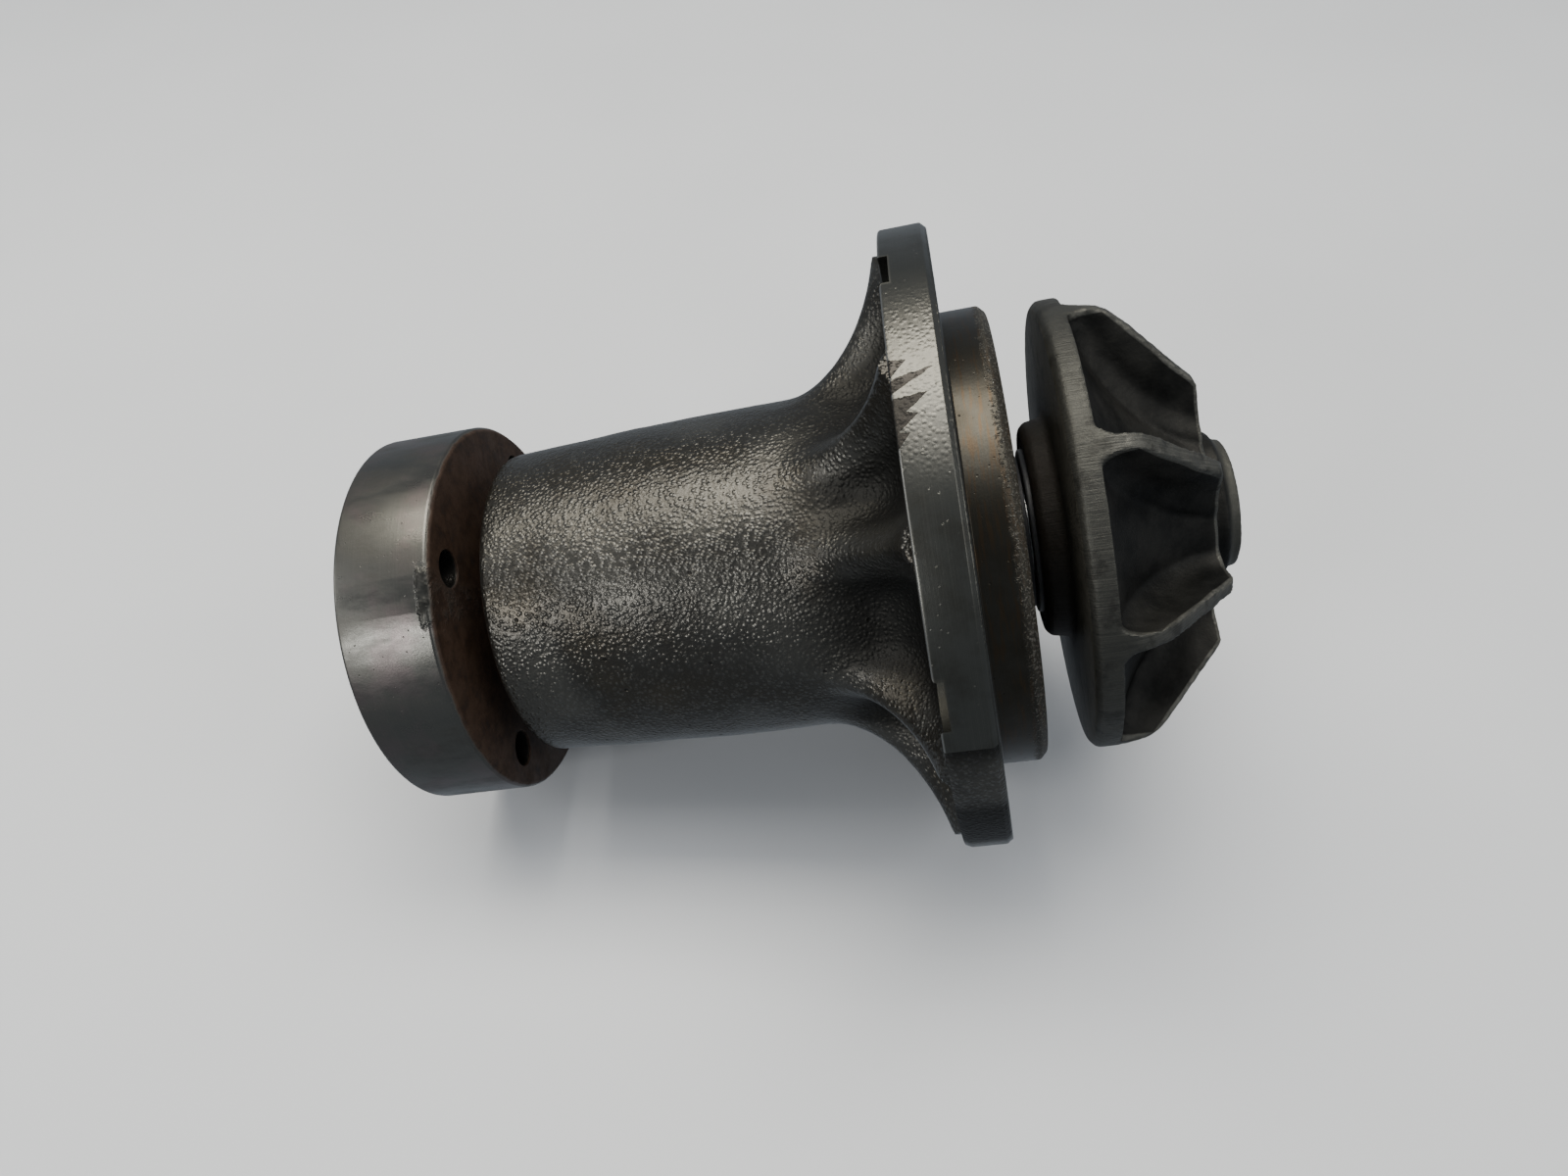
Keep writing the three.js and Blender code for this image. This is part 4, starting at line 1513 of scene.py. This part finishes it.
    def _roller(self) -> Mesh:
        """One roller, crowned along its length and rounded at its ends."""
        half, r = self.roller_length / 2, self.roller_radius
        a, b = self.roller_row - half, self.roller_row + half
        profile = softened(
            [
                (a + 0.25, 0.0),
                (a + 0.25, 1.2, 0.2),
                (a, 1.6, 0.1),
                (a, r - 0.02, 0.5),
                (a + 2.2, r, 0.6),
                (b - 2.2, r, 0.6),
                (b, r - 0.02, 0.5),
                (b, 1.6, 0.1),
                (b - 0.25, 1.2, 0.2),
                (b - 0.25, 0.0),
            ]
        )
        return turned(profile, 48)

    def _cage_ring(self, start: float, end: float) -> Mesh:
        """Round-cornered ring that a cage is cut from.

        Args:
            start: station of its hub side, in millimetres.
            end: station of its impeller side.

        Returns:
            The ring.
        """
        half = self.cage_thickness / 2
        low, high = self.row_pitch - half, self.row_pitch + half
        corners = [(start, low, 0.35), (start, high, 0.35), (end, high, 0.35), (end, low, 0.35)]
        return turned(softened(corners, 3), 144, closed=True)

    def _ball_cage(self) -> Mesh:
        """Crown whose pockets hold the balls past their middle."""
        start = self.ball_row - self.ball_radius - self.cage_edge
        crown = self._cage_ring(start, self.ball_row)
        for angle in spread(self.ball_count):
            pocket = placed(self._ball(self.cage_gap, 40), self.row_pitch, angle)
            crown = carve(crown, pocket, Carve.REMOVE)
        return crown

    def _roller_cage(self) -> Mesh:
        """Basket with one round-cornered window for each roller."""
        half = self.roller_length / 2 + 0.3
        edge = half + self.cage_edge
        basket = self._cage_ring(self.roller_row - edge, self.roller_row + edge)
        for angle in spread(self.roller_count):
            window = bmesh.new()
            bmesh.ops.create_cube(window, size=1.0)
            across = 2 * (self.roller_radius + self.cage_gap)
            size = (2 * half * MM, across * MM, self.window_depth * MM)
            bmesh.ops.scale(window, vec=size, verts=window.verts)
            uprights = [e for e in window.edges if abs(e.verts[0].co.z - e.verts[1].co.z) > 1e-6]
            bmesh.ops.bevel(
                window,
                geom=uprights,
                offset=0.5 * MM,
                segments=4,
                profile=0.5,
                affect="EDGES",
                material=-1,
            )
            moved(window, Matrix.Translation((self.roller_row * MM, 0.0, 0.0)))
            basket = carve(basket, placed(window, self.row_pitch, angle), Carve.REMOVE)
        return basket

    def _lip_seal(self, end: float, inwards: float) -> Mesh:
        """Rubber ring with a rounded rim bead and a lip that leans out along the shaft.

        Args:
            end: station of the race's end, in millimetres.
            inwards: 1 or -1, the direction from there into the bearing.

        Returns:
            The ring.
        """
        r, rim = self.shaft_radius, self.race_inner - 0.3

        def at(distance: float) -> float:
            """Station at a distance into the bearing."""
            return end + inwards * distance

        profile = softened(
            [
                (at(0.4), rim, 0.3),
                (at(0.4), rim - 1.2, 0.1),
                (at(0.65), rim - 1.5, 0.1),
                (at(0.65), r + 3.4, 0.2),
                (at(0.4), r + 2.9, 0.2),
                (at(0.12), r + 0.5, 0.15),
                (at(0.85), r + 0.5, 0.15),
                (at(1.35), r + 3.0, 0.3),
                (at(2.4), r + 3.6, 0.2),
                (at(2.4), rim, 0.4),
            ],
            3,
        )
        return turned(profile, 96, closed=True)


# ---------------------------------------------------------------------- the face seal


@dataclass
class FaceSeal:
    """Slinger, seal cartridge and the seat ring in the impeller's boss."""

    shop: Workshop
    shaft_fit: float = 8.3
    chamber_start: float = -19.6
    chamber_length: float = 8.0
    chamber_radius: float = 17.5
    slinger_length: float = 2.6
    cup_back: float = -11.3
    cup_front: float = 4.6
    cup_outer: float = 18.2
    cup_lip: float = 21.7
    cup_hole: float = 10.6
    sheet: float = 0.9
    carbon_inner: float = 9.4
    carbon_outer: float = 13.6
    carbon_back: float = 4.2
    carbon_face: float = 8.8
    spring_radius: float = 15.45
    wire: float = 0.6
    seat_face: float = 9.1
    seat_back: float = 13.1
    seat_inner: float = 9.0
    seat_outer: float = 13.2
    seat_cup_outer: float = 14.7
    seat_cup_back: float = 14.6

    def build(self) -> None:
        """Make every piece of the seal."""
        dark, light = (0.015, 0.015, 0.017), (0.028, 0.027, 0.026)
        rubber = Moulded("seal_rubber_skin", dark, light, 0.55, grain=0.35).material()
        yellow, brown = (0.42, 0.27, 0.10), (0.26, 0.17, 0.07)
        brass = Moulded("drawn_brass", yellow, brown, 0.30, 0.95, 0.3, 0.012).material()
        wire = GroundSteel("spring_wire", (0.42, 0.42, 0.42), 0.26).material()
        dark, light = (0.020, 0.020, 0.022), (0.032, 0.031, 0.032)
        carbon = Moulded("lapped_carbon", dark, light, 0.48, 0.15, 0.2, 0.006).material()
        dark, light = (0.040, 0.041, 0.044), (0.058, 0.059, 0.062)
        carbide = Moulded("lapped_carbide", dark, light, 0.38, grain=0.4, depth=0.003).material()
        housing, rotor = Body.HOUSING, Body.ROTOR
        make = self.shop.piece
        make("rubber_slinger", self._slinger(), rotor, rubber, "seal_rubber", "slinger")
        make("seal_cup_drawn", self._cup(), housing, brass, "seal_brass", "seal_cup")
        make("bellows_folds", self._bellows(), housing, rubber, "seal_rubber", "seal_bellows")
        make("coil_spring", self._spring(), housing, wire, "spring_steel", "seal_spring")
        make("carbon_face_ring", self._carbon(), housing, carbon, "carbon", "carbon_ring")
        make("seat_ring", self._seat(), rotor, carbide, "ceramic", "ceramic_seat")
        make("seat_rubber_cup", self._seat_cup(), rotor, rubber, "seal_rubber", "seat_cup")

    def _slinger(self) -> Mesh:
        """Rubber disc that throws a leak off the shaft."""
        thick = self.slinger_length
        x = self.chamber_start + (self.chamber_length - thick) / 2
        neck, rim = self.shaft_fit + 1.4, self.chamber_radius - 2.0
        profile = [
            (x, self.shaft_fit, 0.2),
            (x, neck + 1.2, 0.5),
            (x + 1.2, rim, 0.25),
            (x + 2.2, rim, 0.25),
            (x + 1.0, neck + 0.7, 0.5),
            (x + thick, neck, 0.3),
            (x + thick, self.shaft_fit, 0.2),
        ]
        return turned(softened(profile, 3), 96, closed=True)

    def _cup(self) -> Mesh:
        """Drawn cup with a rolled flange that seats in the pilot's mouth."""
        inner = self.cup_outer - self.sheet
        profile = [
            (self.cup_back, self.cup_hole, 0.2),
            (self.cup_back, self.cup_outer, 1.4),
            (self.cup_front, self.cup_outer, 0.5),
            (self.cup_front, self.cup_lip, 0.25),
            (self.cup_front + self.sheet, self.cup_lip, 0.25),
            (self.cup_front + self.sheet, inner, 0.9),
            (self.cup_back + self.sheet, inner, 0.8),
            (self.cup_back + self.sheet, self.cup_hole, 0.2),
        ]
        return turned(softened(profile, 5), 144, closed=True)

    def _bellows(self) -> Mesh:
        """Rubber bellows with two soft folds between its end flanges."""
        start = self.cup_back + self.sheet + 0.3
        end = self.carbon_back - 0.3
        low, rim = self.carbon_inner, self.carbon_outer
        outside = [(start, rim, 0.3), (start + 0.9, rim, 0.3)]
        inside = [(start, low, 0.2)]
        bends = 4
        pitch = (end - start - 1.8) / bends
        for i in range(bends + 1):
            swell = 1.6 * (i % 2)
            x = start + 0.9 + pitch * i
            outside.append((x, low + 1.1 + swell, pitch * 0.45))
            inside.append((x, low + swell, pitch * 0.45))
        outside += [(end - 0.9, rim, 0.3), (end, rim, 0.3)]
        inside.append((end, low, 0.2))
        return turned(softened(outside + inside[::-1], 6), 96, closed=True)

    def _spring(self) -> Mesh:
        """Coil spring with a closed turn at each end."""
        start = self.cup_back + self.sheet + 0.3 + self.wire
        end = self.carbon_back - 0.3 - self.wire
        per_turn = 72
        dead = self.wire * 2.1
        open_turns = 2.0
        bm = bmesh.new()
        made = bmesh.ops.create_circle(bm, cap_ends=False, segments=14, radius=self.wire * MM)
        ring = made["verts"]
        bmesh.ops.rotate(bm, matrix=Matrix.Rotation(math.pi / 2, 3, "X"), verts=ring)
        bmesh.ops.translate(bm, vec=(start * MM, 0.0, self.spring_radius * MM), verts=ring)
        last = [*bm.verts, *bm.edges]
        climb = (end - start - 1.5 * dead) / open_turns
        for turns, rise in ((0.75, dead), (open_turns, climb), (0.75, dead)):
            steps = round(turns * per_turn)
            last = swung(bm, last, turns * FULL_TURN, steps, climb=rise / per_turn)
            last = [g for g in last if not isinstance(g, bmesh.types.BMFace)]
        return capped(bm)

    def _carbon(self) -> Mesh:
        """Carbon ring with the narrow nose that rubs on the seat."""
        low, high, face = self.carbon_inner, self.carbon_outer, self.carbon_face
        profile = [
            (self.carbon_back, low, 0.25),
            (self.carbon_back, high, 0.4),
            (face - 1.6, high, 0.3),
            (face - 1.2, high - 1.4, 0.3),
            (face, high - 1.4, 0.12),
            (face, low + 0.6, 0.12),
            (face - 1.2, low, 0.3),
        ]
        return turned(softened(profile, 3), 128, closed=True)

    def _seat(self) -> Mesh:
        """Silicon carbide ring with eased corners."""
        a, b, low, high = self.seat_face, self.seat_back, self.seat_inner, self.seat_outer
        profile = [(a, low, 0.35), (a, high, 0.35), (b, high, 0.5), (b, low, 0.5)]
        return turned(softened(profile, 4), 128, closed=True)

    def _seat_cup(self) -> Mesh:
        """Rubber cup, with ribs on its outside, that holds the seat ring."""
        lip = self.seat_face + 0.8
        back, wall, outer = self.seat_back + 0.3, self.seat_outer + 0.3, self.seat_cup_outer
        profile = [
            (lip, wall, 0.25),
            (lip, outer - 0.15, 0.3),
            (lip + 0.9, outer - 0.15, 0.2),
            (lip + 1.3, outer, 0.25),
            (lip + 1.9, outer, 0.25),
            (lip + 2.3, outer - 0.2, 0.2),
            (lip + 2.9, outer - 0.2, 0.2),
            (lip + 3.3, outer, 0.25),
            (self.seat_cup_back, outer, 0.5),
            (self.seat_cup_back, self.seat_inner, 0.3),
            (back, self.seat_inner, 0.2),
            (back, wall, 0.2),
        ]
        return turned(softened(profile, 3), 128, closed=True)


# ------------------------------------------------------------------------- the studio


@dataclass(frozen=True)
class Softbox:
    """One rectangular light aimed at the pump; lengths are metres and power is watts."""

    name: str
    above_floor: float
    at: tuple[float, float, float]
    along_shaft: float
    across: float
    power: float
    colour: Colour = (1.0, 1.0, 1.0)


@dataclass
class Studio:
    """Floor, lights and camera."""

    camera_at: tuple[float, float, float] = (-0.813, -119.966, 134.069)
    camera_right: tuple[float, float, float] = (0.975708, 0.001557, -0.219070)
    camera_up: tuple[float, float, float] = (0.139594, 0.766263, 0.627179)
    lens: float = 24.95
    foot_back: Point = (-94.3, -31.4)
    foot_front: Point = (-7.2, -48.5)
    aim: tuple[float, float, float] = (-25.0, 0.0, 0.0)
    floor_half: float = 6000.0
    surround: Colour = (0.72, 0.80, 0.90)
    surround_strength: float = 0.36
    lights: tuple[Softbox, ...] = (
        Softbox("key", 0.62, (-0.13, 0.18, 0.0), 0.80, 0.28, 4.4, (1.0, 0.95, 0.84)),
        Softbox("overhead", 1.9, (0.0, 0.35, 0.0), 1.7, 1.5, 22.0),
        Softbox("front", 0.0, (-0.66, -0.74, 0.60), 0.34, 0.30, 4.6),
        Softbox("far", 0.0, (0.95, -0.30, 0.50), 0.6, 0.6, 3.0),
        Softbox("side", 0.0, (-0.80, -0.10, 0.55), 0.35, 0.35, 1.2),
    )

    def build(self) -> None:
        """Set the scene."""
        self._camera()
        self._floor()
        for box in self.lights:
            self._hang(box)
        self._surround()

    @property
    def floor_up(self) -> Vector:
        """The floor's normal: it touches the hub's edge and the flange's edge."""
        (back_x, back_z), (front_x, front_z) = self.foot_back, self.foot_front
        return Vector((back_z - front_z, 0.0, front_x - back_x)).normalized()

    def _camera(self) -> None:
        """Camera with its position and directions in the row frame."""
        data = bpy.data.cameras.new("camera")
        data.lens = self.lens
        data.sensor_width = 36.0
        data.clip_start = 0.001
        data.clip_end = 20.0
        made = bpy.data.objects.new("camera", data)
        right = Vector(self.camera_right).normalized()
        up = Vector(self.camera_up)
        up = (up - right * up.dot(right)).normalized()
        back = right.cross(up)
        turn = Matrix((right, up, back)).transposed().to_4x4()
        made.matrix_world = Matrix.Translation(Vector(self.camera_at) * MM) @ turn
        bpy.context.scene.collection.objects.link(made)
        bpy.context.scene.camera = made

    def _floor(self) -> None:
        """A wide pale floor."""
        bm = bmesh.new()
        bmesh.ops.create_grid(bm, x_segments=1, y_segments=1, size=self.floor_half * MM)
        turn = Vector((0.0, 0.0, 1.0)).rotation_difference(self.floor_up).to_matrix().to_4x4()
        foot = Vector((self.foot_front[0], 0.0, self.foot_front[1] - 0.1)) * MM
        bmesh.ops.transform(bm, matrix=Matrix.Translation(foot) @ turn, verts=bm.verts)
        mesh = bpy.data.meshes.new("floor")
        bm.to_mesh(mesh)
        bm.free()
        s = Shader("studio_floor")
        tone = s.noise(90.0, 2.0)
        s.surface(
            Base_Color=s.mix(tone, (0.60, 0.61, 0.62), (0.66, 0.67, 0.68)),
            Roughness=0.55 + tone * 0.1,
        )
        mesh.materials.append(s.material)
        floor = bpy.data.objects.new("floor", mesh)
        bpy.context.scene.collection.objects.link(floor)
        floor.visible_glossy = False

    def _surround(self) -> None:
        """A dim, even light from all round."""
        world = bpy.data.worlds.new("surround")
        world.use_nodes = True
        background = world.node_tree.nodes["Background"]
        background.inputs["Color"].default_value = (*self.surround, 1.0)
        background.inputs["Strength"].default_value = self.surround_strength
        bpy.context.scene.world = world

    def _hang(self, box: Softbox) -> None:
        """Hang one softbox with its long side beside the shaft.

        Args:
            box: the softbox.
        """
        data = bpy.data.lights.new(box.name, "AREA")
        data.shape = "RECTANGLE"
        data.size = box.along_shaft
        data.size_y = box.across
        data.energy = box.power
        data.color = box.colour
        made = bpy.data.objects.new(box.name, data)
        at = self.floor_up * box.above_floor + Vector(box.at)
        back = (at - Vector(self.aim) * MM).normalized()
        side = Vector(SHAFT_AXIS)
        side = (side - back * side.dot(back)).normalized()
        turn = Matrix((side, back.cross(side), back)).transposed().to_4x4()
        made.matrix_world = Matrix.Translation(at) @ turn
        bpy.context.scene.collection.objects.link(made)


def main() -> None:
    """Load the frame, build each sub-assembly, and finish."""
    logging.basicConfig(level=logging.INFO, format="%(name)s %(message)s")
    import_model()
    shop = Workshop()
    PumpBody(shop).build()
    DriveHub(shop).build()
    Impeller(shop).build()
    Bearing(shop).build()
    FaceSeal(shop).build()
    Studio().build()


if __name__ == "__main__":
    main()
